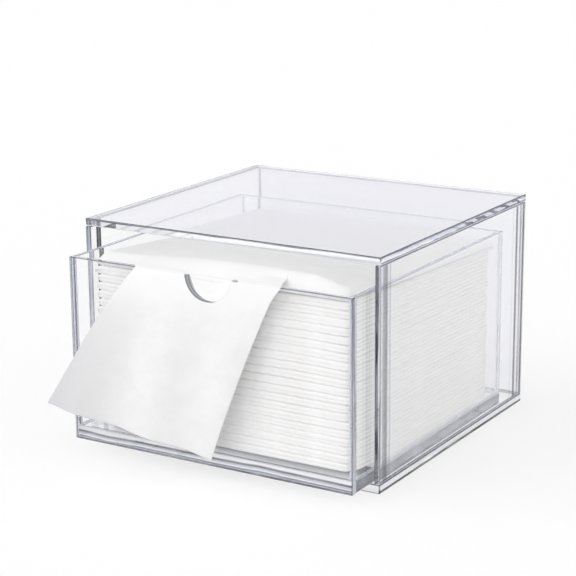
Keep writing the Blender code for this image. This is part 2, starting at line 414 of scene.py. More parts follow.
class EdgeCorner(SurfaceEffect):
    """What a polished edge mirrors near its end: a grey block, a dark wedge beside it, then a haze."""

    name = "edge_corner"
    inputs = {
        "Block": 13 * MM,
        "Mottle": 420.0,
        "Wedge": 25 * MM,
        "Haze": 62 * MM,
        "Haze fade": 12 * MM,
        "Haze strength": 0.22,
    }
    outputs = ("Grey", "Dark")

    def wire(self, wiring: Wiring, given: Outputs) -> dict[str, Socket]:
        """Measures from the edge's end, and cuts the wedge off along a slant.

        Args:
            wiring: The group's tree.
            given: The group's inputs.

        Returns:
            The socket of each output, by name.
        """
        where = wiring.where("UV")
        along = wiring.math("ABSOLUTE", where["X"])
        block = wiring.math("LESS_THAN", along, given["Block"])
        mottle = wiring.fit(wiring.noise(along, given["Mottle"], 1.0), 0.4, 0.6, 0.6, 1.0)
        past_haze = wiring.math("DIVIDE", wiring.math("SUBTRACT", along, given["Haze"]), given["Haze fade"])
        haze = wiring.math("MULTIPLY", wiring.fit(past_haze, 0.0, 1.0, 1.0, 0.0), given["Haze strength"])
        past_block = wiring.math("SUBTRACT", along, given["Block"])
        length = wiring.math("SUBTRACT", given["Wedge"], given["Block"])
        under = wiring.math("LESS_THAN", where["Y"], wiring.math("DIVIDE", past_block, length))
        wedge = wiring.math("MULTIPLY", under, wiring.math("LESS_THAN", along, given["Wedge"]))
        return {
            "Grey": wiring.math("MAXIMUM", wiring.math("MULTIPLY", block, mottle), haze),
            "Dark": wiring.math("MULTIPLY", wedge, wiring.fit(where["Y"], 0.1, 0.9, 1.0, 0.6)),
        }


class SoftFibres(SurfaceEffect):
    """Felted fibres of a nonwoven towel, with its fine pressed dimples and its cloudy thickness."""

    name = "soft_fibres"
    inputs = {
        "Fibre size": 1500.0,
        "Dimple size": 620.0,
        "Cloud size": 70.0,
        "Ply line at": -1.0,
        "Ply line width": 0.35 * MM,
        "Ply line": 0.0,
    }
    outputs = ("Height", "Dimple", "Cloud", "Line")

    def wire(self, wiring: Wiring, given: Outputs) -> dict[str, Socket]:
        """Mixes fibres that lie mostly one way with rows of dimples.

        Args:
            wiring: The group's tree.
            given: The group's inputs.

        Returns:
            The socket of each output, by name.
        """
        where = wiring.add("ShaderNodeTexCoord").outputs["UV"]
        along = wiring.stretched(where, (0, 0, 0.35), (1.0, 0.28, 1.0))
        across = wiring.stretched(where, (0, 0, -0.9), (0.4, 1.0, 1.0))
        fibres = [wiring.noise(lie, given["Fibre size"], 3.0, roughness=0.65) for lie in (along, across)]
        felt = wiring.math("MULTIPLY", wiring.math("MAXIMUM", *fibres), 0.6)
        spots = {"Vector": where, "Scale": given["Dimple size"], "Randomness": 0.35}
        dimple = wiring.add("ShaderNodeTexVoronoi", spots, feature="F1").outputs["Distance"]
        pressed = wiring.fit(dimple, 0.15, 0.55)
        height = wiring.math("ADD", felt, wiring.math("MULTIPLY", pressed, 0.4))
        line = self.ply_line(wiring, given)
        return {
            "Height": wiring.math("SUBTRACT", height, wiring.math("MULTIPLY", line, 3.0)),
            "Dimple": pressed,
            "Cloud": wiring.fit(wiring.noise(where, given["Cloud size"], 4.0, roughness=0.6), 0.3, 0.7),
            "Line": line,
        }

    def ply_line(self, wiring: Wiring, given: Outputs) -> Socket:
        """Masks the line between two plies round a fold, which is painted as shade and pressed in as a
        groove, and is fainter in some places.

        Args:
            wiring: The group's tree.
            given: The group's inputs.

        Returns:
            The mask.
        """
        away = wiring.math("ABSOLUTE", wiring.math("SUBTRACT", wiring.where("UV")["Y"], given["Ply line at"]))
        near = wiring.math("DIVIDE", away, given["Ply line width"])
        place = wiring.add("ShaderNodeTexCoord").outputs["Object"]
        lengthened = wiring.stretched(place, (0, 0, 0), (14, 14, 190))
        patchy = wiring.fit(wiring.noise(lengthened, 1.0, 2.0), 0.4, 0.6, 0.15, 1.0)
        strength = wiring.math("MULTIPLY", given["Ply line"], patchy)
        return wiring.math("MULTIPLY", wiring.fit(near, 0.0, 1.0, 1.0, 0.0), strength)


@dataclass(frozen=True)
class ClearSheetFinish:
    """Clear polished sheet, with a cool tint that deepens along the sheet, and painted reflections and shade
    where bands or lanes are given.
    """

    name: str
    tint: Triple = (0.99, 0.99, 0.995)
    shades: Bands = ()
    shade_cool: float = 0.10
    fading: float = 0.0
    stripes: float = 0.0
    corner: bool = False
    corner_shades: Duo = (0.35, 0.2)
    stripe_shade: float = 0.2
    satin: float = 0.0
    lanes: Bands = ()
    lanes_axis: str = "Y"
    lanes_right_of: float = -9.0
    wobble: float = 0.15
    seed: float = 0.0
    polish: float = 0.0
    worn: float = 0.05
    hairlines: float = 0.25
    hairline_depth: float = 0.01 * MM
    ior: float = 1.49
    lets_light_by: Triple = (0.995, 0.995, 0.995)
    depth_tint: Triple = (0.70, 0.73, 0.88)
    depth_density: float = 1.2

    def material(self) -> bpy.types.Material:
        """Builds the material. Light for the towels inside goes straight through the sheet.

        Returns:
            The material.
        """
        made, wiring = new_material(self.name)
        handled = HandledSheet().place(wiring, hairlines=self.hairlines)
        bump = wiring.add("ShaderNodeBump", {"Height": handled["Height"], "Distance": self.hairline_depth})
        # The base colour carries the painted reflections and painted shade of the bands and lanes.
        colour = self.tint
        if self.shades:
            colour = self.shaded(wiring)
        elif self.lanes:
            colour = self.laned(wiring)
        shader = wiring.add(
            "ShaderNodeBsdfPrincipled",
            {
                "Base Color": colour,
                "Roughness": wiring.fit(handled["Wear"], 0.0, 1.0, self.polish, self.worn),
                "IOR": self.ior,
                "Transmission Weight": 1.0 - self.satin,
                "Normal": bump.outputs["Normal"],
            },
        )
        path = wiring.add("ShaderNodeLightPath").outputs
        straight = wiring.math("MAXIMUM", path["Is Shadow Ray"], path["Is Diffuse Ray"])
        clear = wiring.add("ShaderNodeBsdfTransparent", {"Color": self.lets_light_by})
        both = wiring.add("ShaderNodeMixShader", {0: straight, 1: shader.outputs[0], 2: clear.outputs[0]})
        depth = {"Color": self.depth_tint, "Density": self.depth_density}
        inside = wiring.add("ShaderNodeVolumeAbsorption", depth)
        wiring.add("ShaderNodeOutputMaterial", {"Surface": both.outputs[0], "Volume": inside.outputs[0]})
        return made

    def shade(self, share: float) -> Triple:
        """The cool tint that lets a share of the light through."""
        cooler = min(share * (1 + self.shade_cool), 1.0)
        return (share * share, (share * share + share * cooler) / 2, cooler * cooler)

    def ramp(self, wiring: Wiring, across: Socket, shades: Bands) -> Socket:
        """Wires a ramp of shades.

        Args:
            wiring: The material's tree.
            across: Where on the ramp a place is, from 0 to 1.
            shades: The ramp's places, each with the share of the light that it lets through.

        Returns:
            The colour.
        """
        ramp = wiring.add("ShaderNodeValToRGB", {0: across})
        stops = ramp.color_ramp.elements
        while len(stops) < len(shades):
            stops.new(0.5)
        while len(stops) > len(shades):
            stops.remove(stops[-1])
        for stop, (place, share) in zip(stops, shades):
            stop.position = place
            stop.color = (*self.shade(share), 1.0)
        return ramp.outputs[0]

    def laned(self, wiring: Wiring) -> Socket:
        """Wires the tint of a face, with lanes of painted reflection and painted shade along one axis, such
        as the upright lanes that a near edge would mirror into a large face.

        Args:
            wiring: The material's tree.

        Returns:
            The tint.
        """
        place = wiring.where("Object")
        start = self.lanes[0][0]
        length = self.lanes[-1][0] - start
        past_start = wiring.math("SUBTRACT", place[self.lanes_axis], start * MM)
        shades = tuple(((lane - start) / length, share) for lane, share in self.lanes)
        lanes = self.ramp(wiring, wiring.math("DIVIDE", past_start, length * MM), shades)
        on_this_face = wiring.math("GREATER_THAN", place["X"], self.lanes_right_of)
        return wiring.mix(on_this_face, self.tint, lanes, "MULTIPLY")

    def shaded(self, wiring: Wiring) -> Socket:
        """Wires the tint of an edge, in bands of painted reflection and shade across it that fade in places.

        Args:
            wiring: The material's tree.

        Returns:
            The tint.
        """
        bands = EdgeBands().place(wiring, wobble=self.wobble, seed=self.seed)
        patchy = wiring.math("MULTIPLY", bands["Along"], self.fading)
        colour = wiring.mix(patchy, self.ramp(wiring, bands["Across"], self.shades), WHITE)
        if self.corner:
            ends = EdgeCorner().place(wiring)
            for name, share in zip(EdgeCorner.outputs, self.corner_shades):
                colour = wiring.mix(ends[name], colour, self.shade(share))
        if self.stripes:
            stripes = wiring.math("MULTIPLY", EdgeStripes().place(wiring)["Stripes"], self.stripes)
            colour = wiring.mix(stripes, colour, self.shade(self.stripe_shade))
        return colour


@dataclass(frozen=True)
class PaintedEdgeShade:
    """Painted dark marks on a thin towel over the drawer's front, in place of the notch's cut edge and the
    front's top edge, with a painted shade spot beside the notch.

    All places are in the drawer's own frame. The cut edge is as deep as the sheet, so its far side shows a
    little to the right of its near side, and higher.
    """

    notch_middle: float
    notch_radius: float
    notch_above_edge: float
    edge_height: float
    cut_right: float = 2.9 * MM
    cut_up: float = 0.95 * MM
    soft: float = 0.25 * MM
    streak: float = 0.45 * MM
    arc_line: float = 0.10
    top_line: float = 0.10
    line_width: float = 0.45 * MM
    ends_round_edge: Duo = (-0.2 * MM, 0.3 * MM)
    line_above_edge: float = 0.2 * MM
    corner_spot: Duo = (2.8 * MM, 0.8 * MM)
    corner_spot_beyond: float = 2.4 * MM
    corner_spot_above_edge: float = 0.3 * MM
    corner_spot_dark: float = 0.6
    shows_before: float = 5 * MM

    def away(self, wiring: Wiring, x: Socket, z: Socket, right: float, up: float) -> Socket:
        """Wires how far a place is from the notch's middle, moved to the right and up.

        Args:
            wiring: The material's tree.
            x: The place's X.
            z: The place's Z.
            right: How far the middle is moved to the right.
            up: How far it is moved up.

        Returns:
            The distance.
        """
        sideways = wiring.math("SUBTRACT", x, self.notch_middle + right)
        upward = wiring.math("SUBTRACT", z, self.edge_height + self.notch_above_edge + up)
        return wiring.math("SQRT", self.squared(wiring, sideways, upward))

    def squared(self, wiring: Wiring, *parts: Socket) -> Socket:
        """The sum of two parts' squares."""
        return wiring.math("ADD", *[wiring.math("MULTIPLY", part, part) for part in parts])

    def mask(self, wiring: Wiring) -> Socket:
        """Wires how dark the painted marks make each place.

        Args:
            wiring: The material's tree.

        Returns:
            The mask, from 0 to 1.
        """
        place = wiring.where("Object")
        x, z = place["X"], place["Z"]
        near = self.away(wiring, x, z, 0.0, 0.0)
        far = self.away(wiring, x, z, self.cut_right, self.cut_up)
        rim = (self.notch_radius - self.soft, self.notch_radius + self.soft)
        crescent = wiring.math("MULTIPLY", wiring.fit(near, *rim, 1.0, 0.0), wiring.fit(far, *rim))
        lanes = wiring.noise(wiring.math("DIVIDE", near, self.streak), 1.0, 1.0)
        cut = wiring.math("MULTIPLY", crescent, wiring.fit(lanes, 0.35, 0.65, 0.55, 1.0))
        off_arc = wiring.math("ABSOLUTE", wiring.math("SUBTRACT", near, self.notch_radius))
        arc = wiring.fit(off_arc, 0.0, self.line_width, self.arc_line, 0.0)
        ends = [self.edge_height + end for end in self.ends_round_edge]
        under = wiring.fit(z, *ends, 1.0, 0.0)
        notch = wiring.math("MULTIPLY", wiring.math("MAXIMUM", cut, arc), under)
        line_z = self.edge_height + self.line_above_edge
        off_edge = wiring.math("ABSOLUTE", wiring.math("SUBTRACT", z, line_z))
        edge = wiring.fit(off_edge, 0.0, self.line_width, self.top_line, 0.0)
        # A painted shade spot just right of the notch.
        spot_x = self.notch_middle + self.notch_radius + self.corner_spot_beyond
        spot_z = self.edge_height + self.corner_spot_above_edge
        off_spot = [
            wiring.math("DIVIDE", wiring.math("SUBTRACT", value, middle), half_width)
            for value, middle, half_width in zip((x, z), (spot_x, spot_z), self.corner_spot)
        ]
        spot = wiring.fit(self.squared(wiring, *off_spot), 0.3, 1.1, self.corner_spot_dark, 0.0)
        all_marks = wiring.math("MAXIMUM", notch, wiring.math("MAXIMUM", edge, spot))
        before = wiring.fit(place["Y"], self.shows_before, self.shows_before + 2 * MM, 1.0, 0.0)
        return wiring.math("MULTIPLY", all_marks, before)


@dataclass(frozen=True)
class TowelFinish:
    """White nonwoven cotton, with felted fibres, fine dimples and a soft sheen, and where given, painted
    shade and painted dark marks.
    """

    name: str
    white: Triple = (0.93, 0.93, 0.935)
    thin_white: Triple = (0.905, 0.905, 0.91)
    dimple_depth: float = 0.10 * MM
    dimples_at_sides: float = 0.1
    roughness: float = 0.92
    sheen: float = 0.2
    ply_line_at: float = -1.0
    ply_line: float = 0.0
    ply_shade: Triple = (0.60, 0.585, 0.57)
    # Painted dark marks in place of the drawer front's edges under the cloth.
    shows: PaintedEdgeShade | None = None
    painted_edge_dark: Triple = (0.16, 0.165, 0.20)
    # Painted shade: greyer towards the left across an X span, and above a height the cloth turns an even
    # lighter white, so the part below it is the greyer.
    left_shade_span: Duo = (0.0, 0.0)
    left_shade_white: Triple = (0.68, 0.68, 0.695)
    unshaded_above: float = 9.0
    unshaded_fade: float = 32 * MM
    unshaded_white: Triple = (0.93, 0.93, 0.93)

    def material(self) -> bpy.types.Material:
        """Builds the material, the first time that it is asked for.

        Returns:
            The material.
        """
        found = bpy.data.materials.get(self.name)
        if found:
            return found
        made, wiring = new_material(self.name)
        fibres = SoftFibres().place(wiring, ply_line_at=self.ply_line_at, ply_line=self.ply_line)
        cloth = wiring.mix(fibres["Cloud"], self.thin_white, self.white)
        # Painted shade along the line between the plies round a fold.
        cloth = wiring.mix(fibres["Line"], cloth, self.ply_shade)
        # Painted shade: greyer towards the left, and greyer below a height than the lighter white above it.
        if self.left_shade_span[0] != self.left_shade_span[1]:
            place = wiring.where("Object")
            painted_left_shade = wiring.fit(place["X"], *self.left_shade_span, 1.0, 0.0)
            cloth = wiring.mix(painted_left_shade, cloth, self.left_shade_white)
            unshaded = wiring.fit(place["Z"], self.unshaded_above - self.unshaded_fade, self.unshaded_above)
            cloth = wiring.mix(unshaded, cloth, self.unshaded_white)
        # Painted dark marks of the front's edges and a painted shade spot.
        if self.shows:
            cloth = wiring.mix(self.shows.mask(wiring), cloth, self.painted_edge_dark)
        normal = wiring.add("ShaderNodeNewGeometry").outputs["True Normal"]
        sideways = wiring.math("ABSOLUTE", wiring.add("ShaderNodeSeparateXYZ", {0: normal}).outputs["X"])
        on_face = wiring.fit(sideways, 0.6, 0.85, 1.0, self.dimples_at_sides)
        relief = wiring.math("MULTIPLY", fibres["Height"], on_face)
        pressed = {"Height": relief, "Distance": self.dimple_depth, "Strength": 0.8}
        bump = wiring.add("ShaderNodeBump", pressed)
        shader = wiring.add(
            "ShaderNodeBsdfPrincipled",
            {
                "Base Color": cloth,
                "Roughness": wiring.fit(fibres["Dimple"], 0.0, 1.0, self.roughness - 0.1, self.roughness),
                "Specular IOR Level": 0.2,
                "Sheen Weight": self.sheen,
                "Sheen Roughness": 0.6,
                "Normal": bump.outputs["Normal"],
            },
        )
        wiring.add("ShaderNodeOutputMaterial", {"Surface": shader.outputs[0]})
        return made


@dataclass
class Piece:
    """One finished piece of the object: what it stands for, and what it rides on."""

    shape: bpy.types.Object
    node: str
    body: Body
    slot: Slot

    def settle(self) -> bpy.types.Object:
        """Rides the piece on its body in its node's stead, and reports it.

        Returns:
            The piece's object.
        """
        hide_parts(self.node)
        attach(self.shape, self.body.value)
        LOG.info("%s stands for %s on %s", self.shape.name, self.node, self.body.value)
        return self.shape


def put_in_scene(name: str, data: bpy.types.ID) -> bpy.types.Object:
    """Puts a mesh, a lamp or a camera in the scene.

    Args:
        name: The object's name.
        data: What it is an object of.

    Returns:
        The object.
    """
    made = bpy.data.objects.new(name, data)
    bpy.context.scene.collection.objects.link(made)
    return made


def add_object(name: str, mesh: bpy.types.Mesh, materials: Iterable[bpy.types.Material]) -> bpy.types.Object:
    """Puts a mesh with its materials in the scene, shaded smooth.

    Args:
        name: The object's name.
        mesh: Its mesh.
        materials: The mesh's materials, in the order of its faces' numbers.

    Returns:
        The object.
    """
    for material in materials:
        mesh.materials.append(material)
    mesh.shade_smooth()
    return put_in_scene(name, mesh)


def new_mesh(name: str, cage: bmesh.types.BMesh) -> bpy.types.Mesh:
    """Turns a cage into a mesh, and frees the cage.

    Args:
        name: The mesh's name.
        cage: The cage, with its faces and UVs.

    Returns:
        The mesh.
    """
    bmesh.ops.recalc_face_normals(cage, faces=cage.faces)
    mesh = bpy.data.meshes.new(name)
    cage.to_mesh(mesh)
    cage.free()
    return mesh


# In the bands of painted reflection and shade, each place is a share of the way across the edge. The other
# number is how clear it is.
PLAIN_BANDS: Bands = ((0.0, 0.85), (0.22, 0.97), (0.55, 1.0), (0.85, 0.97), (1.0, 0.85))
CASE_LEFT_BANDS: Bands = ((0.0, 0.45), (0.25, 0.5), (0.6, 0.7), (0.85, 0.75), (1.0, 0.6))
BACK_RIGHT_BANDS: Bands = ((0.0, 1.0), (0.8, 1.0), (0.9, 0.4), (1.0, 0.4))
CASE_RIGHT_BANDS: Bands = ((0.0, 0.08), (0.62, 0.08), (0.74, 1.0), (1.0, 1.0))
DRAWER_LEFT_BANDS: Bands = (
    (0.0, 0.2), (0.14, 0.2), (0.24, 0.85), (0.38, 0.85),
    (0.46, 0.12), (0.62, 0.12), (0.74, 0.5), (1.0, 0.6),
)
DRAWER_RIGHT_BANDS: Bands = (
    (0.0, 0.4), (0.12, 0.5), (0.24, 1.0), (0.42, 0.95),
    (0.52, 0.6), (0.62, 1.0), (1.0, 0.9),
)
FRONT_END_BANDS: Bands = ((0.0, 0.8), (0.1, 0.8), (0.2, 1.0), (0.6, 1.0), (0.72, 0.12), (1.0, 0.12))
FLOOR_BANDS: Bands = (
    (0.0, 0.8), (0.08, 0.8), (0.13, 0.45), (0.20, 0.5), (0.25, 1.0), (0.32, 1.0), (0.37, 0.7),
    (0.45, 0.75), (0.50, 0.25), (0.62, 0.3), (0.69, 1.0), (0.95, 1.0), (1.0, 0.85),
)
FLOOR_RIGHT_BANDS: Bands = (
    (0.0, 0.25), (0.2, 0.3), (0.32, 0.42), (0.6, 0.42),
    (0.85, 0.38), (0.93, 0.16), (1.0, 0.16),
)
BASE_FRONT_BANDS: Bands = ((0.0, 0.6), (0.15, 1.0), (0.9, 1.0), (1.0, 0.9))
BASE_RIGHT_BANDS: Bands = ((0.0, 0.06), (0.32, 0.08), (0.42, 1.0), (0.9, 1.0), (1.0, 0.7))
TOP_BANDS: Bands = ((0.0, 1.0), (0.74, 1.0), (0.82, 0.25), (1.0, 0.2))
TOP_RIGHT_BANDS: Bands = (
    (0.0, 0.2), (0.24, 0.2), (0.32, 0.95), (0.5, 1.0),
    (0.76, 0.9), (0.84, 0.3), (1.0, 0.3),
)
# In the lanes of painted reflection and shade, each place is in millimetres along the axis that they are
# counted on.
BASE_ARRIS_LANES: Bands = ((0, 0.06), (2.7, 0.06), (3.3, 0.6), (6, 0.6))
TOP_ARRIS_LANES: Bands = ((145, 1.0), (147.5, 1.0), (147.8, 0.45), (150, 0.45))
CASE_WALL_ARRIS_LANES: Bands = ((106, 0.22), (107.7, 0.22), (108.1, 0.8), (110, 0.8))
FRONT_ARRIS_LANES: Bands = ((-130, 0.5), (-128.3, 0.5), (-127.9, 0.35), (-126, 0.35))
# The floor's lanes are a painted shadow under the stack's lifted front folds.
FLOOR_LANES: Bands = ((-126, 1.0), (-117, 1.0), (-110.4, 0.45), (-105.2, 0.28), (-100.8, 0.18), (-100, 1.0))
# The case walls' lanes are painted reflections: the dark and light strips that their near edges would mirror
# into their faces.
CASE_LEFT_LANES: Bands = (
    (-99, 1.0), (-98.6, 0.05), (-96.9, 0.08), (-96.2, 0.25),
    (-95.6, 0.1), (-93.9, 0.05), (-93.5, 1.0),
)
CASE_RIGHT_LANES: Bands = (
    (-105, 1.0), (-102.7, 1.0), (-102, 0.55), (-100.4, 0.55), (-99.5, 0.36), (-98.4, 0.48), (-97.2, 0.22),
    (-96.2, 0.6), (-94.9, 1.0), (-93.8, 0.9), (-93, 0.3), (-92.3, 0.9), (-90.7, 1.0),
    (88.8, 1.0), (89.1, 0.3), (92.2, 0.25), (93.1, 1.0),
    (99.8, 1.0), (100.5, 0.25), (102.4, 0.25), (103.2, 1.0), (107, 1.0),
)


@dataclass
class ClearSheet:
    """A flat sheet with polished edges, painted reflections and shade. A round notch may be cut in its top
    edge.
    """

    node: str
    body: Body
    edge_round: float = 0.7 * MM
    edge_steps: int = 5
    edge_sharper_than: float = math.radians(40)
    notch_right_of_middle: float = 0.0
    notch_radius: float = 0.0
    notch_above_edge: float = 0.0
    notch_steps: int = 96
    bands: dict[Facing, Bands] = field(default_factory=dict)
    face_tint: Triple = (0.985, 0.985, 0.992)
    edge_fading: float = 0.35
    facing_fading: float = 0.12
    arris_shade: float = 0.35
    arris_fading: float = 0.55
    stripes: dict[Facing, float] = field(default_factory=dict)
    corners: tuple[Facing, ...] = ()
    satin: float = 0.0
    arris_satin: float = 0.0
    lanes: Bands = ()
    lanes_right_of: float | None = None
    arris_lanes: Bands = ()
    arris_lanes_axis: str = "Z"
    wobble: float = 0.15
    seed: float = 0.0

    def finishes(self) -> list[bpy.types.Material]:
        """Builds the sheet's materials.

        Returns:
            The materials, in the order of Look.
        """
        handled = {"hairlines": 0.6, "hairline_depth": 0.02 * MM, "polish": 0.01, "worn": 0.08}
        drift = {"wobble": self.wobble, "seed": self.seed}
        narrow = ClearSheetFinish(
            f"{self.node}_edge", shades=PLAIN_BANDS, fading=self.edge_fading, **drift, **handled
        )
        # The rounded edges' tint is a painted dark line, or lanes of painted shade along an axis.
        arris = ClearSheetFinish(
            f"{self.node}_arris",
            tint=WHITE,
            shades=() if self.arris_lanes else ((0.0, self.arris_shade), (1.0, self.arris_shade)),
            fading=self.arris_fading,
            satin=self.arris_satin,
            lanes=self.arris_lanes,
            lanes_axis=self.arris_lanes_axis,
            seed=self.seed + 11,
            **handled,
        )
        facing = [
            ClearSheetFinish(
                f"{self.node}_{way.value}_edge",
                shades=bands,
                fading=self.facing_fading,
                stripes=self.stripes.get(way, 0.0),
                corner=way in self.corners,
                satin=self.satin,
                wobble=self.wobble,
                seed=self.seed + 5,
                **handled,
            )
            for way, bands in self.bands.items()
        ]
        low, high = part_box(self.node)
        middle = (low.x + high.x) / 2 if self.lanes_right_of is None else self.lanes_right_of
        large = ClearSheetFinish(f"{self.node}_face", self.face_tint, lanes=self.lanes, lanes_right_of=middle)
        return [look.material() for look in (large, narrow, arris, *facing)]

    def finish_of(self, face: bmesh.types.BMFace, thin: int) -> int:
        """Which of the finishes a face has.

        Args:
            face: One of the sheet's faces.
            thin: The axis through the sheet.

        Returns:
            The finish's number.
        """
        if abs(face.normal[thin]) > SQUARELY:
            return Look.FACE
        looks = {Facing.FRONT: face.normal.y < -SQUARELY, Facing.RIGHT: face.normal.x > MOSTLY}
        for number, way in enumerate(self.bands):
            if looks[way]:
                return Look.FACING + number
        return Look.EDGE

    def outline(self, low: Vector, high: Vector) -> list[Vector]:
        """The outer face of an upright sheet across the drawer, from its lower left corner round.

        Args:
            low: The sheet's lowest corner.
            high: The sheet's highest corner.

        Returns:
            The outline's points on the plane of the lower Y.
        """
        corners = ((low.x, low.z), (high.x, low.z), (high.x, high.z))
        points = [Vector((x, low.y, z)) for x, z in corners]
        if self.notch_radius:
            dip = math.asin(self.notch_above_edge / self.notch_radius)
            for step in range(self.notch_steps + 1):
                turn = -dip - (math.pi - 2 * dip) * step / self.notch_steps
                middle = (low.x + high.x) / 2 + self.notch_right_of_middle
                across = middle + self.notch_radius * math.cos(turn)
                up = high.z + self.notch_above_edge + self.notch_radius * math.sin(turn)
                points.append(Vector((across, low.y, up)))
        points.append(Vector((low.x, low.y, high.z)))
        return points

    def mesh(self) -> bpy.types.Mesh:
        """Builds the sheet in its node's box. Its UVs run along and across each edge.

        Returns:
            The mesh, with a finish for each face.
        """
        low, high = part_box(self.node)
        cage = bmesh.new()
        if self.notch_radius:
            face = cage.faces.new([cage.verts.new(point) for point in self.outline(low, high)])
            raised = bmesh.ops.extrude_face_region(cage, geom=[face])
            moved = [item for item in raised["geom"] if isinstance(item, bmesh.types.BMVert)]
            bmesh.ops.translate(cage, vec=(0, high.y - low.y, 0), verts=moved)
        else:
            bmesh.ops.create_cube(cage, size=1)
            bmesh.ops.scale(cage, vec=high - low, verts=cage.verts)
            bmesh.ops.translate(cage, vec=(low + high) / 2, verts=cage.verts)
        thin = min(range(3), key=lambda axis: (high - low)[axis])
        through = Vector([float(axis == thin) for axis in range(3)])
        layer = cage.loops.layers.uv.new("along_and_across")
        cage.normal_update()
        for face in cage.faces:
            face.material_index = self.finish_of(face, thin)
            large = abs(face.normal[thin]) > SQUARELY
            along = face.normal.orthogonal().normalized() if large else face.normal.cross(through)
            for loop in face.loops:
                place = loop.vert.co - low
                across = place.dot(face.normal.cross(along)) if large else place[thin] / (high - low)[thin]
                loop[layer].uv = (place.dot(along), across)
        return new_mesh(f"{self.node}_polished", cage)

    def build(self) -> bpy.types.Object:
        """Builds and settles the sheet.

        Returns:
            The sheet.
        """
        sheet = add_object(f"{self.node}_polished", self.mesh(), self.finishes())
        rounded = sheet.modifiers.new("polished_edges", "BEVEL")
        rounded.width = self.edge_round
        rounded.segments = self.edge_steps
        rounded.limit_method = "ANGLE"
        rounded.angle_limit = self.edge_sharper_than
        rounded.harden_normals = True
        rounded.material = Look.ARRIS
        return Piece(sheet, self.node, self.body, Slot.CLEAR_SHEET).settle()


@dataclass
class Case:
    """The outer shell, which stands still: base, two sides, back and top."""

    # The top and back sheets are tinted darker than the other sheets of the same clear acrylic: painted shade
    # on what is seen through them.
    top_tint: Triple = (0.87, 0.87, 0.92)
    back_tint: Triple = (0.90, 0.90, 0.94)

    def build(self) -> list[bpy.types.Object]:
        """Builds the case's sheets.

        Returns:
            The five sheets.
        """
        sheets = [
            ClearSheet(
                "case_base",
                Body.CASE,
                bands={Facing.FRONT: BASE_FRONT_BANDS, Facing.RIGHT: BASE_RIGHT_BANDS},
                satin=0.65,
                arris_lanes=BASE_ARRIS_LANES,
                seed=0,
            ),
            ClearSheet(
                "case_left_wall",
                Body.CASE,
                bands={Facing.FRONT: CASE_LEFT_BANDS},
                lanes=CASE_LEFT_LANES,
                seed=3.7,
            ),
            ClearSheet(
                "case_right_wall",
                Body.CASE,
                bands={Facing.FRONT: CASE_RIGHT_BANDS},
                lanes=CASE_RIGHT_LANES,
                arris_lanes=CASE_WALL_ARRIS_LANES,
                arris_lanes_axis="X",
                seed=7.4,
            ),
            ClearSheet(
                "case_back_wall",
                Body.CASE,
                bands={Facing.RIGHT: BACK_RIGHT_BANDS},
                face_tint=self.back_tint,
                satin=0.5,
                seed=11.1,
            ),
            ClearSheet(
                "case_top",
                Body.CASE,
                bands={Facing.FRONT: TOP_BANDS, Facing.RIGHT: TOP_RIGHT_BANDS},
                face_tint=self.top_tint,
                stripes={Facing.RIGHT: 0.9},
                corners=(Facing.FRONT,),
                satin=0.45,
                arris_satin=0.35,
                arris_lanes=TOP_ARRIS_LANES,
                seed=14.8,
            ),
        ]
        return [sheet.build() for sheet in sheets]


@dataclass
class Drawer:
    """The sliding shell: floor, two sides, back, and a front with a half-round finger notch."""

    notch_right_of_middle: float = 3.5 * MM
    notch_radius: float = 17.5 * MM
    notch_above_edge: float = 2 * MM

    def build(self) -> list[bpy.types.Object]:
        """Builds the drawer's sheets. The walls' light edges show little in the case.

        Returns:
            The five sheets.
        """
        light_edges = {"arris_shade": 0.9, "arris_fading": 0.8, "arris_satin": 0.3}
        sheets = [
            ClearSheet(
                "drawer_floor",
                Body.DRAWER,
                bands={Facing.FRONT: FLOOR_BANDS, Facing.RIGHT: FLOOR_RIGHT_BANDS},
                lanes=FLOOR_LANES,
                lanes_right_of=-86 * MM,
                satin=0.55,
                arris_shade=0.8,
                arris_satin=0.45,
                seed=20,
            ),
            ClearSheet(
                "drawer_left_wall",
                Body.DRAWER,
                bands={Facing.FRONT: DRAWER_LEFT_BANDS},
                seed=23.7,
                **light_edges,
            ),
            ClearSheet(
                "drawer_right_wall",
                Body.DRAWER,
                bands={Facing.FRONT: DRAWER_RIGHT_BANDS},
                seed=27.4,
                **light_edges,
            ),
            ClearSheet("drawer_back_wall", Body.DRAWER, seed=31.1, **light_edges),
            ClearSheet(
                "drawer_front",
                Body.DRAWER,
                bands={Facing.RIGHT: FRONT_END_BANDS},
                satin=0.3,
                arris_lanes=FRONT_ARRIS_LANES,
                arris_lanes_axis="Y",
                seed=50,
                notch_right_of_middle=self.notch_right_of_middle,
                notch_radius=self.notch_radius,
                notch_above_edge=self.notch_above_edge,
            ),
        ]
        return [sheet.build() for sheet in sheets]


@dataclass
class DrawerRoom:
    """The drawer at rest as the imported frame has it, in the drawer's own frame.

    That frame's origin is the middle of the front sheet's lower outer edge.
    """

    origin: Vector = field(init=False)
    width: float = field(init=False)
    height: float = field(init=False)
    front_sheet: float = field(init=False)
    floor_top: float = field(init=False)
    left: float = field(init=False)
    right: float = field(init=False)
    back: float = field(init=False)

    def __post_init__(self) -> None:
        """Reads the boxes of the drawer's sheets."""
        low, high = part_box("drawer_front")
        self.origin = Vector(((low.x + high.x) / 2, low.y, low.z))
        self.width = high.x - low.x
        self.height = high.z - low.z
        self.front_sheet = high.y - low.y
        self.floor_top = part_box("drawer_floor")[1].z - self.origin.z
        self.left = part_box("drawer_left_wall")[1].x - self.origin.x
        self.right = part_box("drawer_right_wall")[0].x - self.origin.x
        self.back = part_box("drawer_back_wall")[0].y - self.origin.y


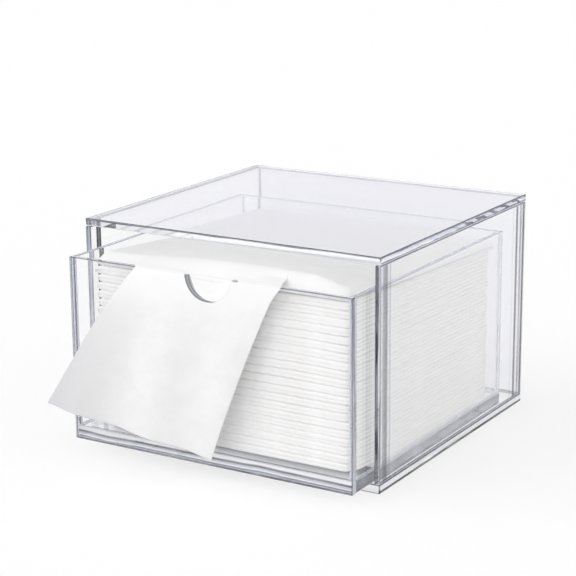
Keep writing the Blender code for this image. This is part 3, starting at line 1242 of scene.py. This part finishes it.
@dataclass
class Towel:
    """A sheet of cloth on a fine grid. Its place says where each point of the flat cloth goes."""

    node: str
    flat: Duo
    held: Hold
    rests_on: tuple[str, ...]
    place: Place
    columns: int
    rows: int
    thickness: float
    finish: TowelFinish
    soft_rim: float = 0.5
    smoothings: int = 1
    crowding: float = 1.0

    def mesh(self) -> bpy.types.Mesh:
        """Builds the cloth's middle surface.

        Returns:
            The mesh, with the flat cloth's own coordinates in metres as UVs.
        """
        cage = bmesh.new()
        bmesh.ops.create_grid(cage, x_segments=self.columns, y_segments=self.rows, size=0.5)
        layer = cage.loops.layers.uv.new("flat_cloth")
        lengths = self.lengths()
        for face in cage.faces:
            for loop in face.loops:
                spot = loop.vert.co
                row = round((spot.y + 0.5) * self.rows)
                loop[layer].uv = (self.across(spot.x) * self.flat[0], lengths[row] * self.flat[1])
        for point in cage.verts:
            point.co = self.place(self.across(point.co.x), point.co.y + 0.5)
        return new_mesh(f"{self.node}_cloth", cage)

    def across(self, x: float) -> float:
        """The share of the way across the flat cloth, at a place on the grid."""
        return (x + 0.5) ** self.crowding

    def lengths(self) -> list[float]:
        """Measures how far along the flat cloth each row lies.

        Returns:
            For each row, its share of the cloth's length.
        """
        middle = [self.place(0.5, row / self.rows) for row in range(self.rows + 1)]
        reached = [0.0]
        for before, after in zip(middle, middle[1:]):
            reached.append(reached[-1] + (after - before).length)
        return [length / reached[-1] for length in reached]

    def rim(self, cloth: bpy.types.Object) -> None:
        """Marks the cloth's rim, where it is thinner, with a vertex group that is 0 at the rim.

        Args:
            cloth: The cloth, whose points lie row by row.
        """
        group = cloth.vertex_groups.new(name=BODY_OF_CLOTH)
        count = self.columns + 1
        for index in range(len(cloth.data.vertices)):
            row, column = divmod(index, count)
            at_rim = row in (0, self.rows) or column in (0, self.columns)
            group.add([index], 0.0 if at_rim else 1.0, "REPLACE")

    def build(self, origin: Vector) -> bpy.types.Object:
        """Builds and settles the towel.

        Args:
            origin: Where the drawer's own frame is.

        Returns:
            The towel.
        """
        cloth = add_object(f"{self.node}_cloth", self.mesh(), [self.finish.material()])
        cloth.location = origin
        self.rim(cloth)
        solid = cloth.modifiers.new("cloth_thickness", "SOLIDIFY")
        solid.thickness = self.thickness
        solid.offset = 0
        solid.use_even_offset = True
        solid.vertex_group = BODY_OF_CLOTH
        solid.thickness_vertex_group = self.soft_rim
        if self.smoothings:
            soft = cloth.modifiers.new("soft_edges", "SUBSURF")
            soft.levels = self.smoothings
            soft.render_levels = self.smoothings
        Piece(cloth, self.node, Body.DRAWER, Slot.TOWEL_CLOTH).settle()
        return (cloth, list(self.rests_on))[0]


@dataclass
class TowelStack:
    """The stack of towels, each folded once with its fold in front. It is lower at the back."""

    room: DrawerRoom
    count: int = 20
    space_left: float = 15.2 * MM
    space_right: float = 1.4 * MM
    space_before: float = 2.2 * MM
    space_behind: float = 3.3 * MM
    below_front_edge: float = 4.65 * MM
    drop_to_back: float = 7 * MM
    fold_length: float = 2.4 * MM
    leaf_gap: float = 0.75 * MM
    soft_gap: float = 0.35 * MM
    stray: float = 0.7 * MM
    fullness: float = 0.85
    front_roundness: float = 0.6 * MM
    crease_turn: float = 0.28
    crease_mean: float = 0.55
    crease_varies: float = 0.9
    crease_patches: float = 4.3
    fold_squareness: float = 0.24
    ply_crease: float = 0.45 * MM
    sway: float = 0.8 * MM
    sway_length: float = 60 * MM
    squeezed: float = 0.2
    loose_end: float = 1.6 * MM
    end_patches: float = 3.1
    front_lift: float = 3.4 * MM
    lift_length: float = 14 * MM
    round_end: float = 3.6 * MM
    crowding: float = 1.6
    columns: int = 52
    leaf_rows: int = 7
    fold_rows: int = 10
    soft_rim: float = 0.85
    seed: int = 7
    ply_line: float = 0.45
    white: Triple = (0.93, 0.925, 0.92)
    thin_white: Triple = (0.89, 0.88, 0.87)
    left: float = field(init=False)
    width: float = field(init=False)
    front: float = field(init=False)
    back: float = field(init=False)
    bottom: float = field(init=False)
    height: float = field(init=False)
    leaf: float = field(init=False)

    def __post_init__(self) -> None:
        """Works out the stack's place from the drawer's room."""
        self.left = self.room.left + self.space_left
        self.width = self.room.right - self.space_right - self.left
        self.front = self.room.front_sheet + self.space_before
        self.back = self.room.back - self.space_behind
        self.bottom = self.room.floor_top + self.soft_gap
        self.height = self.room.height - self.bottom - self.below_front_edge
        thinnest = (self.height - self.drop_to_back) / self.count
        self.leaf = (thinnest - self.soft_gap - self.leaf_gap) / 2

    @property
    def rows(self) -> int:
        """How many rows the grid of each towel has."""
        return 2 * self.leaf_rows + self.fold_rows

    def height_at(self, y: float) -> float:
        """The height of the whole stack at a distance behind the drawer's front."""
        return self.height - (y - self.front) / (self.back - self.front) * self.drop_to_back

    def lift_at(self, y: float) -> float:
        """How far the lowest fold stands off the floor, at a distance behind the drawer's front."""
        return self.front_lift * (1 - smooth_step((y - self.front) / self.lift_length))

    def place_of(self, index: int, stray: random.Random) -> Place:
        """The place function of one towel, a little out of line with the others.

        Args:
            index: The towel's number from the bottom.
            stray: Where its small strays are drawn from.

        Returns:
            A function from shares across and along the flat cloth to a point in the drawer's frame.
        """
        shift_x = stray.uniform(-1, 1) * self.stray
        shift_y = stray.uniform(0, 1) * self.stray
        slack = stray.uniform(0, 1) * self.stray
        wave_start = stray.uniform(0, math.tau)
        middle_x = self.left + self.width / 2 + shift_x
        spread_share = (1 + self.fullness) / 2
        fold_y = self.front + self.stray / 2 + self.leaf / 2 + self.fold_length + shift_y
        leaf_depth = self.back - self.stray / 2 - fold_y
        ends_at = self.leaf_rows / self.rows
        freedom = math.sin(math.pi * (index + 0.5) / self.count)

        def place(across: float, along: float) -> Vector:
            """Where a point of the flat cloth goes, from the lower leaf's back edge round to the upper's.

            Args:
                across: The share of the way across the flat cloth.
                along: The share of the way along it.

            Returns:
                The point in the drawer's frame.
            """
            share, turn = round_fold(along, ends_at)
            side = 1 if along > 0.5 else -1
            forward = math.cos(turn) ** self.fold_squareness
            upward = signed_power(math.sin(turn), self.fold_squareness)
            x = middle_x + (across - 0.5) * (self.width - slack)
            crease = math.exp(-((turn / self.crease_turn) ** 2))
            # Each towel has its own patches and ragged ends, and sways nearly as its neighbours do.
            patch = uneven(across * self.crease_patches, index * 2.3, 9.0)
            ragged = uneven_share(across * self.end_patches, index * 1.7 + side, 4.0)
            end = self.loose_end * ragged * share * share
            y = fold_y + slack / 2 * math.sin(math.tau * across + wave_start)
            y += share * leaf_depth - end - self.fold_length + self.front_roundness * (1 - forward)
            y += self.ply_crease * crease * (self.crease_mean + self.crease_varies * patch)
            lift = self.lift_at(y)
            pitch = (self.height_at(y) - lift) / self.count
            squeeze = uneven(x / self.sway_length, y / self.sway_length, index * 0.9)
            half_spread = (pitch - self.soft_gap - self.leaf) / 2 * spread_share
            half_spread += self.leaf_gap * self.squeezed * squeeze
            sway = uneven(x / self.sway_length, y / self.sway_length, index * 0.12)
            z = self.bottom + lift + (index + 0.5) * pitch - self.soft_gap / 2 + self.sway * freedom * sway
            inwards = 1 - min(across * self.width / self.round_end, 1)
            return Vector((x, y, z + half_spread * upward * rounded_end(inwards)))

        return place

    def build(self) -> list[bpy.types.Object]:
        """Builds the towels from the bottom up.

        Returns:
            The towels.
        """
        stray = random.Random(self.seed)
        flat = (self.width, 2 * (self.back - self.front) - self.fold_length)
        finish = TowelFinish(
            "stacked_towel_cloth",
            self.white,
            self.thin_white,
            ply_line_at=flat[1] / 2,
            ply_line=self.ply_line,
        )
        made = []
        below = "drawer_floor_polished"
        for index in range(self.count):
            towel = Towel(
                node=f"towel_{index + 1:02d}",
                flat=flat,
                held=Hold.FOLDED,
                rests_on=(below,),
                place=self.place_of(index, stray),
                columns=self.columns,
                rows=self.rows,
                thickness=self.leaf + self.leaf_gap * self.fullness,
                finish=finish,
                soft_rim=self.soft_rim,
                crowding=self.crowding,
            )
            made.append(towel.build(self.room.origin))
            below = made[-1].name
        return made


@dataclass
class TopTowel:
    """The loose towel on the stack, whose upper leaf arches up over a wide round fold."""

    stack: TowelStack
    leaf: float = 1.6 * MM
    leaf_gap: float = 0.6 * MM
    fold_length: float = 5 * MM
    fold_squareness: float = 0.7
    bulge_height: float = 9.4 * MM
    bulge_length: float = 125 * MM
    bulge_left_at_back: float = 0.15
    left_share: float = 0.55
    right_share: float = 0.42
    closed_end: float = 5 * MM
    crest_from: float = 0.6
    crest_to: float = 0.84
    crumple: float = 0.5 * MM
    crumple_length: float = 28 * MM
    nose_behind_sheet: float = 1.2 * MM
    nose_below_edge: float = 1.0 * MM
    roll_roundness: float = 1.9
    columns: int = 80
    rows: int = 100
    fold_share: float = 0.20
    finish: TowelFinish = TowelFinish("top_towel_cloth")

    def lower_leaf(self, y: float) -> float:
        """Height of the middle of the lower leaf, which lies on the stack."""
        return self.stack.bottom + self.stack.height_at(y) + self.leaf / 2

    def upper_leaf(self, x: float, y: float) -> float:
        """Height of the middle of the upper leaf, arched from side to side and highest at the front.

        Args:
            x: A place's X in the drawer's frame.
            y: Its Y.

        Returns:
            The height.
        """
        across = (x - self.stack.left) / self.stack.width
        rise = mix(self.left_share, 1, smooth_step(across / self.crest_from))
        fall = mix(1, self.right_share, smooth_step((across - self.crest_to) / (1 - self.crest_to)))
        sideways = rise * fall
        inwards = 1 - min(min(across, 1 - across) * self.stack.width / self.closed_end, 1)
        sideways *= rounded_end(inwards)
        back = smooth_step((y - self.stack.front) / self.bulge_length)
        lengthways = mix(1, self.bulge_left_at_back, back)
        return self.lower_leaf(y) + self.leaf + self.leaf_gap + self.bulge_height * sideways * lengthways

    def place(self, across: float, along: float) -> Vector:
        """Where a point of the flat cloth goes, from the lower leaf's back edge round to the upper's.

        Args:
            across: The share of the way across the flat cloth.
            along: The share of the way along it.

        Returns:
            The point in the drawer's frame.
        """
        stack = self.stack
        share, turn = round_fold(along, (1 - self.fold_share) / 2)
        fold_y = self.fold_y
        x = stack.left + across * stack.width
        y = fold_y + share * (stack.back - fold_y) - self.fold_length * math.cos(turn) ** self.fold_squareness
        low = self.lower_leaf(y)
        high = self.upper_leaf(x, y)
        if along > 0.5:
            crumple = uneven_share(x / self.crumple_length, y / self.crumple_length, 2.0)
            high -= self.crumple * crumple * smooth_step(4 * share + 0.2)
        upward = signed_power(math.sin(turn), self.fold_squareness)
        behind = Vector((x, y, mix(low, high, 0.5 + 0.5 * upward)))
        return behind if share else self.rolled(behind, turn)

    @property
    def fold_y(self) -> float:
        """Where the round fold starts, behind the drawer's front."""
        return self.stack.front + self.leaf / 2 + self.fold_length

    def rolled(self, behind: Vector, turn: float) -> Vector:
        """Where a point of the fold goes on the full roll, whose nose is close behind the front sheet.

        Args:
            behind: Where it would be in a plain fold.
            turn: The turn round the fold, a quarter turn up at the upper leaf.

        Returns:
            The point on the roll.
        """
        if turn > 0:
            return self.roll_front(behind.x, 1 - 2 * turn / math.pi)
        return self.roll_front(behind.x, 1).lerp(behind, smooth_step(-4 * turn / math.pi))

    def roll_front(self, x: float, share: float) -> Vector:
        """A point of the roll's full front, between its crest and its nose.

        Args:
            x: The point's X.
            share: The share of the way down, 0 at the crest and 1 at the nose.

        Returns:
            The point.
        """
        room = self.stack.room
        nose = Vector((x, room.front_sheet + self.nose_behind_sheet, room.height - self.nose_below_edge))
        crest = Vector((x, self.fold_y, self.upper_leaf(x, self.fold_y)))
        return rounded_between(crest, nose, share, self.roll_roundness)

    def build(self) -> bpy.types.Object:
        """Builds the towel.

        Returns:
            The towel.
        """
        stack = self.stack
        towel = Towel(
            node="top_towel",
            flat=(stack.width, 2 * (stack.back - stack.front)),
            held=Hold.FOLDED,
            rests_on=(f"towel_{stack.count:02d}_cloth",),
            place=self.place,
            columns=self.columns,
            rows=self.rows,
            thickness=self.leaf,
            finish=self.finish,
        )
        return towel.build(stack.room.origin)


@dataclass
class PulledTowel:
    """The towel that is pulled out: on the bulge, round the front's top edge, then hanging.

    It leans to the left as it hangs, and its lower left corner stands off towards the viewer.
    """

    top: TopTowel
    drawer: Drawer
    width: float = 105.5 * MM
    length: float = 220 * MM
    thickness: float = 0.5 * MM
    solid_thickness: float = 1.2 * MM
    gap: float = 0.45 * MM
    gap_on_bulge: float = 0.1 * MM
    rim_on_bulge: float = 0.1
    rim_sunk: float = 0.3
    rim_on_roll: float = 0.22
    free_on_roll_from: float = 0.8
    sunk_back: float = 0.6 * MM
    sunk_up: float = 0.4 * MM
    fillet: float = 2 * MM
    fillet_power: int = 6
    fillet_share: float = 0.12
    left_at_edge: float = 53 * MM
    tail_behind_front: float = 92 * MM
    slant_on_bulge: float = 0.3
    edge_radius: float = 2 * MM
    edge_turns: Duo = (math.radians(10), math.radians(85))
    notch_sag: float = 2 * MM
    lean: float = 48.7 * MM
    lean_curve: float = 0.87
    left_corner_height: float = 34.7 * MM
    right_corner_height: float = 7 * MM
    left_flare: float = 33 * MM
    right_flare: float = 4 * MM
    low_width: float = 108 * MM
    left_flare_curve: float = 1.0
    right_flare_curve: float = 1.8
    folds: float = 2.4
    fold_twist: float = 0.5
    fold_start: float = 0.53
    fold_depth: float = 3.2 * MM
    crumple: float = 0.35 * MM
    crumple_length: float = 16 * MM
    dent: float = 1.8 * MM
    dent_wall: float = 2.2 * MM
    dent_slope: float = 8 * MM
    bulge_share: float = 0.38
    roll_share: float = 0.06
    edge_share: float = 0.05
    columns: int = 180
    rows: int = 320
    soft_rim: float = 0.3
    dimple_depth: float = 0.16 * MM
    # Painted shade: the cloth greys towards its left across this X span.
    left_shade_span: Duo = (-100 * MM, -40 * MM)
    white: Triple = (0.885, 0.885, 0.89)
    thin_white: Triple = (0.85, 0.85, 0.855)

    def sag(self, x: float) -> float:
        """How far the cloth dips where it spans the finger notch."""
        reach = min(abs(x - self.drawer.notch_right_of_middle) / self.drawer.notch_radius, 1)
        return self.notch_sag * (1 - reach * reach)

    def dip(self, point: Vector) -> float:
        """How far the cloth is pressed back into the notch, with a steep left flank and a soft right one.

        Args:
            point: A point of the cloth.

        Returns:
            The depth.
        """
        up = point.z - self.top.stack.room.height - self.drawer.notch_above_edge
        sideways = point.x - self.drawer.notch_right_of_middle
        reach = math.hypot(sideways, min(up, 0.0))
        inside = self.drawer.notch_radius - reach
        right = smooth_step(0.5 + sideways / self.drawer.notch_radius)
        low = smooth_step(-up / self.drawer.notch_radius)
        wall = mix(self.dent_wall, self.dent_slope, max(right, low * 0.5))
        return self.dent * smooth_step(inside / wall)

    def on_roll(self, x: float, share: float) -> Vector:
        """A point between the crest and the front's top edge, on a full round front.

        The cloth's right side sinks into the roll, down to near the front's top edge.

        Args:
            x: The point's X, before the cloth reaches to the right.
            share: The share of the way down.

        Returns:
            The point.
        """
        edge = self.round_edge(x, self.edge_turns[0])
        over = rounded_between(self.on_bulge(x, 0), edge, share, self.top.roll_roundness)
        across = (x - self.left) / self.width
        over.x += self.filleted(across) * smooth_step(2 * share - 1)
        free = smooth_step((share - self.free_on_roll_from) / (1 - self.free_on_roll_from))
        sunk = (1 - smooth_step((1 - across) / self.rim_on_roll)) * (1 - free)
        in_roll = self.top.roll_front(over.x, share) + Vector((0, -self.sunk_back, self.sunk_up))
        return over.lerp(in_roll, sunk)

    def filleted(self, across: float) -> float:
        """How far the cloth reaches to the right near its right side, where it turns over the edge."""
        return self.fillet * across**self.fillet_power

    def on_bulge(self, x: float, behind: float) -> Vector:
        """A point on the top towel, whose soft cloth the sides of this one sink into.

        Args:
            x: The point's X, before the slant.
            behind: The share of the way from the top towel's crest to the tail's end.

        Returns:
            The point.
        """
        crest_y = self.top.fold_y
        y = crest_y + behind * (self.tail_behind_front - crest_y)
        to_side = min(x - self.left, self.left + self.width - x) / self.width
        free = smooth_step(min(to_side, 1 - behind) / self.rim_on_bulge)
        x += self.slant_on_bulge * y
        lying = 0.5 * self.thickness + self.gap_on_bulge
        over = self.top.leaf / 2 + mix(-self.rim_sunk * self.thickness, lying, free)
        return Vector((x, y, self.top.upper_leaf(x, y) + over))

    def round_edge(self, x: float, turn: float) -> Vector:
        """A point over the front sheet's top edge.

        Args:
            x: The point's X.
            turn: The turn from straight up towards the front.

        Returns:
            The point.
        """
        clear = self.solid_thickness / 2 + self.gap
        y = self.edge_radius * (1 - math.sin(turn)) - clear
        z = self.top.stack.room.height - self.edge_radius * (1 - math.cos(turn)) + clear
        return Vector((x, y, z - self.sag(x)))

    def hanging(self, x: float, across: float, down: float) -> Vector:
        """A point of the hanging part.

        Args:
            x: The X of its column at the top edge.
            across: The share of the way across the flat cloth.
            down: The share of the way down.

        Returns:
            The point.
        """
        left = self.left
        low_left = Vector((left - self.lean, -self.left_flare, self.left_corner_height))
        low_right = Vector((left - self.lean + self.low_width, -self.right_flare, self.right_corner_height))
        top = self.round_edge(x, self.edge_turns[1])
        bottom = low_left.lerp(low_right, across)
        point = top.lerp(bottom, down)
        point.x = mix(top.x, bottom.x, down**self.lean_curve)
        point.x += self.filleted(across) * max(1 - down / self.fillet_share, 0) ** 2
        flare_curve = mix(self.left_flare_curve, self.right_flare_curve, across)
        point.y = mix(top.y, bottom.y, down**flare_curve)
        point.y += self.dip(point)
        wave = math.sin(math.pi * (self.folds * across - self.fold_twist * down + self.fold_start))
        point.y -= self.fold_depth * wave * wave * smooth_step(2 * down)
        crumple = uneven_share(point.x / self.crumple_length, point.z / self.crumple_length, 7.0)
        point.y -= self.crumple * crumple * smooth_step(4 * down)
        return point

    def place(self, across: float, along: float) -> Vector:
        """Where a point of the flat cloth goes, from the tail's end on the bulge to the lower edge.

        Args:
            across: The share of the way across the flat cloth.
            along: The share of the way along it.

        Returns:
            The point in the drawer's frame.
        """
        x = self.left + across * self.width
        if along <= self.bulge_share:
            return self.on_bulge(x, 1 - along / self.bulge_share)
        along -= self.bulge_share
        if along <= self.roll_share:
            return self.on_roll(x, along / self.roll_share)
        along -= self.roll_share
        if along <= self.edge_share:
            point = self.round_edge(x, mix(*self.edge_turns, along / self.edge_share))
            point.x += self.filleted(across)
            point.y += self.dip(point) * along / self.edge_share
            return point
        hanging_share = 1 - self.bulge_share - self.roll_share - self.edge_share
        return self.hanging(x, across, (along - self.edge_share) / hanging_share)

    @property
    def left(self) -> float:
        """Where the cloth's left side crosses the front's top edge."""
        return self.left_at_edge - self.top.stack.room.width / 2

    def finish(self) -> TowelFinish:
        """Thin cloth with painted shade, greyer towards its left and below the front's top edge, and painted
        dark marks in place of the front's edges.

        Returns:
            The finish.
        """
        seen = PaintedEdgeShade(
            notch_middle=self.drawer.notch_right_of_middle,
            notch_radius=self.drawer.notch_radius,
            notch_above_edge=self.drawer.notch_above_edge,
            edge_height=self.top.stack.room.height,
        )
        return TowelFinish(
            "pulled_towel_cloth",
            self.white,
            self.thin_white,
            dimple_depth=self.dimple_depth,
            shows=seen,
            left_shade_span=self.left_shade_span,
            unshaded_above=self.top.stack.room.height,
        )

    def build(self) -> bpy.types.Object:
        """Builds the towel.

        Returns:
            The towel.
        """
        towel = Towel(
            node="pulled_towel",
            flat=(self.width, self.length),
            held=Hold.DRAPED,
            rests_on=("top_towel_cloth", "drawer_front_polished"),
            place=self.place,
            columns=self.columns,
            rows=self.rows,
            thickness=self.thickness,
            finish=self.finish(),
            soft_rim=self.soft_rim,
            smoothings=0,
        )
        return towel.build(self.top.stack.room.origin)


@dataclass
class Studio:
    """A plain pale floor, soft studio light, and the camera at the photograph's angle."""

    floor_side: float = 9.0
    floor_drop: float = 0.3 * MM
    floor_plain: float = 0.8
    floor_white: float = 0.46
    floor_lift: float = 0.60
    ambient_low: float = 1.05
    ambient_high: float = 0.50
    ambient_ends: Duo = (0.1, 0.9)
    dome_dark: float = 0.08
    backdrop_ends: Duo = (0.30, 0.55)
    room_ends: Duo = (0.03, 0.12)
    room_to_backdrop: Duo = (-0.15, 0.25)
    bounces: int = 96
    cloth_bounces: int = 16
    clear_bounces: int = 64
    camera_place: Triple = (0.6009, -1.0142, 0.4062)
    camera_yaw: float = -31.43
    camera_pitch: float = -14.887
    camera_roll: float = -0.464
    camera_lens: float = 112.05
    camera_sensor: float = 36.0

    def floor(self) -> bpy.types.Object:
        """Lays the floor, which shows white and keeps the object's shadow.

        Returns:
            The floor.
        """
        cage = bmesh.new()
        bmesh.ops.create_grid(cage, x_segments=8, y_segments=8, size=self.floor_side / 2)
        paint, wiring = new_material("pale_floor")
        path = wiring.add("ShaderNodeLightPath").outputs
        plain = wiring.add("ShaderNodeBsdfDiffuse", {"Color": (self.floor_plain,) * 3})
        matt = wiring.add("ShaderNodeBsdfDiffuse", {"Color": (self.floor_white,) * 3})
        glow = wiring.add("ShaderNodeEmission", {"Strength": self.floor_lift})
        white = wiring.add("ShaderNodeAddShader", {0: matt.outputs[0], 1: glow.outputs[0]})
        bent = wiring.math("MAXIMUM", path["Is Glossy Ray"], path["Is Transmission Ray"])
        seen = wiring.math("MAXIMUM", path["Is Camera Ray"], bent)
        both = wiring.add("ShaderNodeMixShader", {0: seen, 1: plain.outputs[0], 2: white.outputs[0]})
        wiring.add("ShaderNodeOutputMaterial", {"Surface": both.outputs[0]})
        floor = add_object("floor", new_mesh("floor", cage), [paint])
        floor.location.z = -self.floor_drop
        floor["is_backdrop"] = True
        return floor

    def surroundings(self) -> None:
        """Fills the world: white behind the object, with a dark ceiling that clear edges show as lines."""
        world = bpy.data.worlds.new("studio")
        bpy.context.scene.world = world
        world.use_nodes = True
        wiring = Wiring(world.node_tree)
        path = wiring.add("ShaderNodeLightPath").outputs
        way = wiring.add("ShaderNodeTexCoord").outputs["Generated"]
        up = wiring.add("ShaderNodeSeparateXYZ", {0: way}).outputs["Z"]
        yaw = math.radians(self.camera_yaw)
        ahead = {0: way, 1: (math.sin(yaw), math.cos(yaw), 0)}
        behind_object = wiring.add("ShaderNodeVectorMath", ahead, operation="DOT_PRODUCT").outputs["Value"]
        backdrop = wiring.fit(up, *self.backdrop_ends, 1.0, self.dome_dark)
        room = wiring.fit(up, *self.room_ends, 1.0, self.dome_dark)
        facing = wiring.fit(behind_object, *self.room_to_backdrop)
        ceilings = {"Factor": facing, "A": room, "B": backdrop}
        seen_bent = wiring.add("ShaderNodeMix", ceilings).outputs["Result"]
        even = wiring.fit(up, *self.ambient_ends, self.ambient_low, self.ambient_high)
        ambient, dome, white = [
            wiring.add("ShaderNodeBackground", {"Color": WHITE, "Strength": strength}).outputs[0]
            for strength in (even, seen_bent, 1.0)
        ]
        bent = wiring.math("MAXIMUM", path["Is Glossy Ray"], path["Is Transmission Ray"])
        lit = wiring.add("ShaderNodeMixShader", {0: bent, 1: ambient, 2: dome})
        seen = wiring.add("ShaderNodeMixShader", {0: path["Is Camera Ray"], 1: lit.outputs[0], 2: white})
        wiring.add("ShaderNodeOutputWorld", {"Surface": seen.outputs[0]})

    def lamp(self, name: str, towards: Triple, strength: float, spread: float) -> bpy.types.Object:
        """Hangs a far, soft lamp, which lights the floor and the object evenly.

        Args:
            name: The lamp's name.
            towards: The way from the object to the lamp.
            strength: Its strength.
            spread: How wide it looks from the object, in degrees.

        Returns:
            The lamp.
        """
        light = bpy.data.lights.new(name, "SUN")
        light.angle = math.radians(spread)
        light.energy = strength
        lamp = put_in_scene(name, light)
        lamp.rotation_mode = "QUATERNION"
        lamp.rotation_quaternion = Vector(towards).to_track_quat("Z", "Y")
        return lamp

    def camera(self) -> bpy.types.Object:
        """Sets up the camera at the photograph's angle.

        Returns:
            The camera.
        """
        lens = bpy.data.cameras.new("photo_view")
        lens.sensor_width = self.camera_sensor
        lens.lens = self.camera_lens
        camera = put_in_scene("photo_view", lens)
        yaw = math.radians(self.camera_yaw)
        pitch = math.radians(self.camera_pitch)
        ahead = Vector((math.sin(yaw) * math.cos(pitch), math.cos(yaw) * math.cos(pitch), math.sin(pitch)))
        roll = Quaternion((0, 0, 1), math.radians(self.camera_roll))
        camera.rotation_mode = "QUATERNION"
        camera.rotation_quaternion = ahead.to_track_quat("-Z", "Y") @ roll
        camera.location = self.camera_place
        bpy.context.scene.camera = camera
        return camera

    def build(self) -> None:
        """Sets up the whole studio."""
        scene = bpy.context.scene
        scene.view_settings.view_transform = "Standard"
        scene.cycles.max_bounces = self.bounces
        scene.cycles.transmission_bounces = self.bounces
        scene.cycles.glossy_bounces = self.bounces
        scene.cycles.diffuse_bounces = self.cloth_bounces
        scene.cycles.transparent_max_bounces = self.clear_bounces
        self.floor()
        self.surroundings()
        self.lamp("key", towards=(-0.68, -0.62, 0.38), strength=1.15, spread=60)
        self.lamp("fill", towards=(0.80, -0.45, 0.30), strength=0.60, spread=80)
        self.camera()


def write_sizes() -> None:
    boxes = {"cad": cad_box, "visual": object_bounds()}
    json.dumps({name: [list(corner) for corner in box] for name, box in boxes.items()})


def main() -> None:
    """Builds the studio, the case, the drawer and the towels, in that order."""
    logging.basicConfig(level=logging.INFO, format="%(name)s: %(message)s")
    Studio().build()
    drawer = Drawer()
    sheets = [*Case().build(), *drawer.build()]
    stack = TowelStack(DrawerRoom())
    top = TopTowel(stack)
    towels = [*stack.build(), top.build(), PulledTowel(top, drawer).build()]
    LOG.info("a box of %d sheets, with %d towels", len(sheets), len(towels))
    write_sizes()


if __name__ == "__main__":
    main()
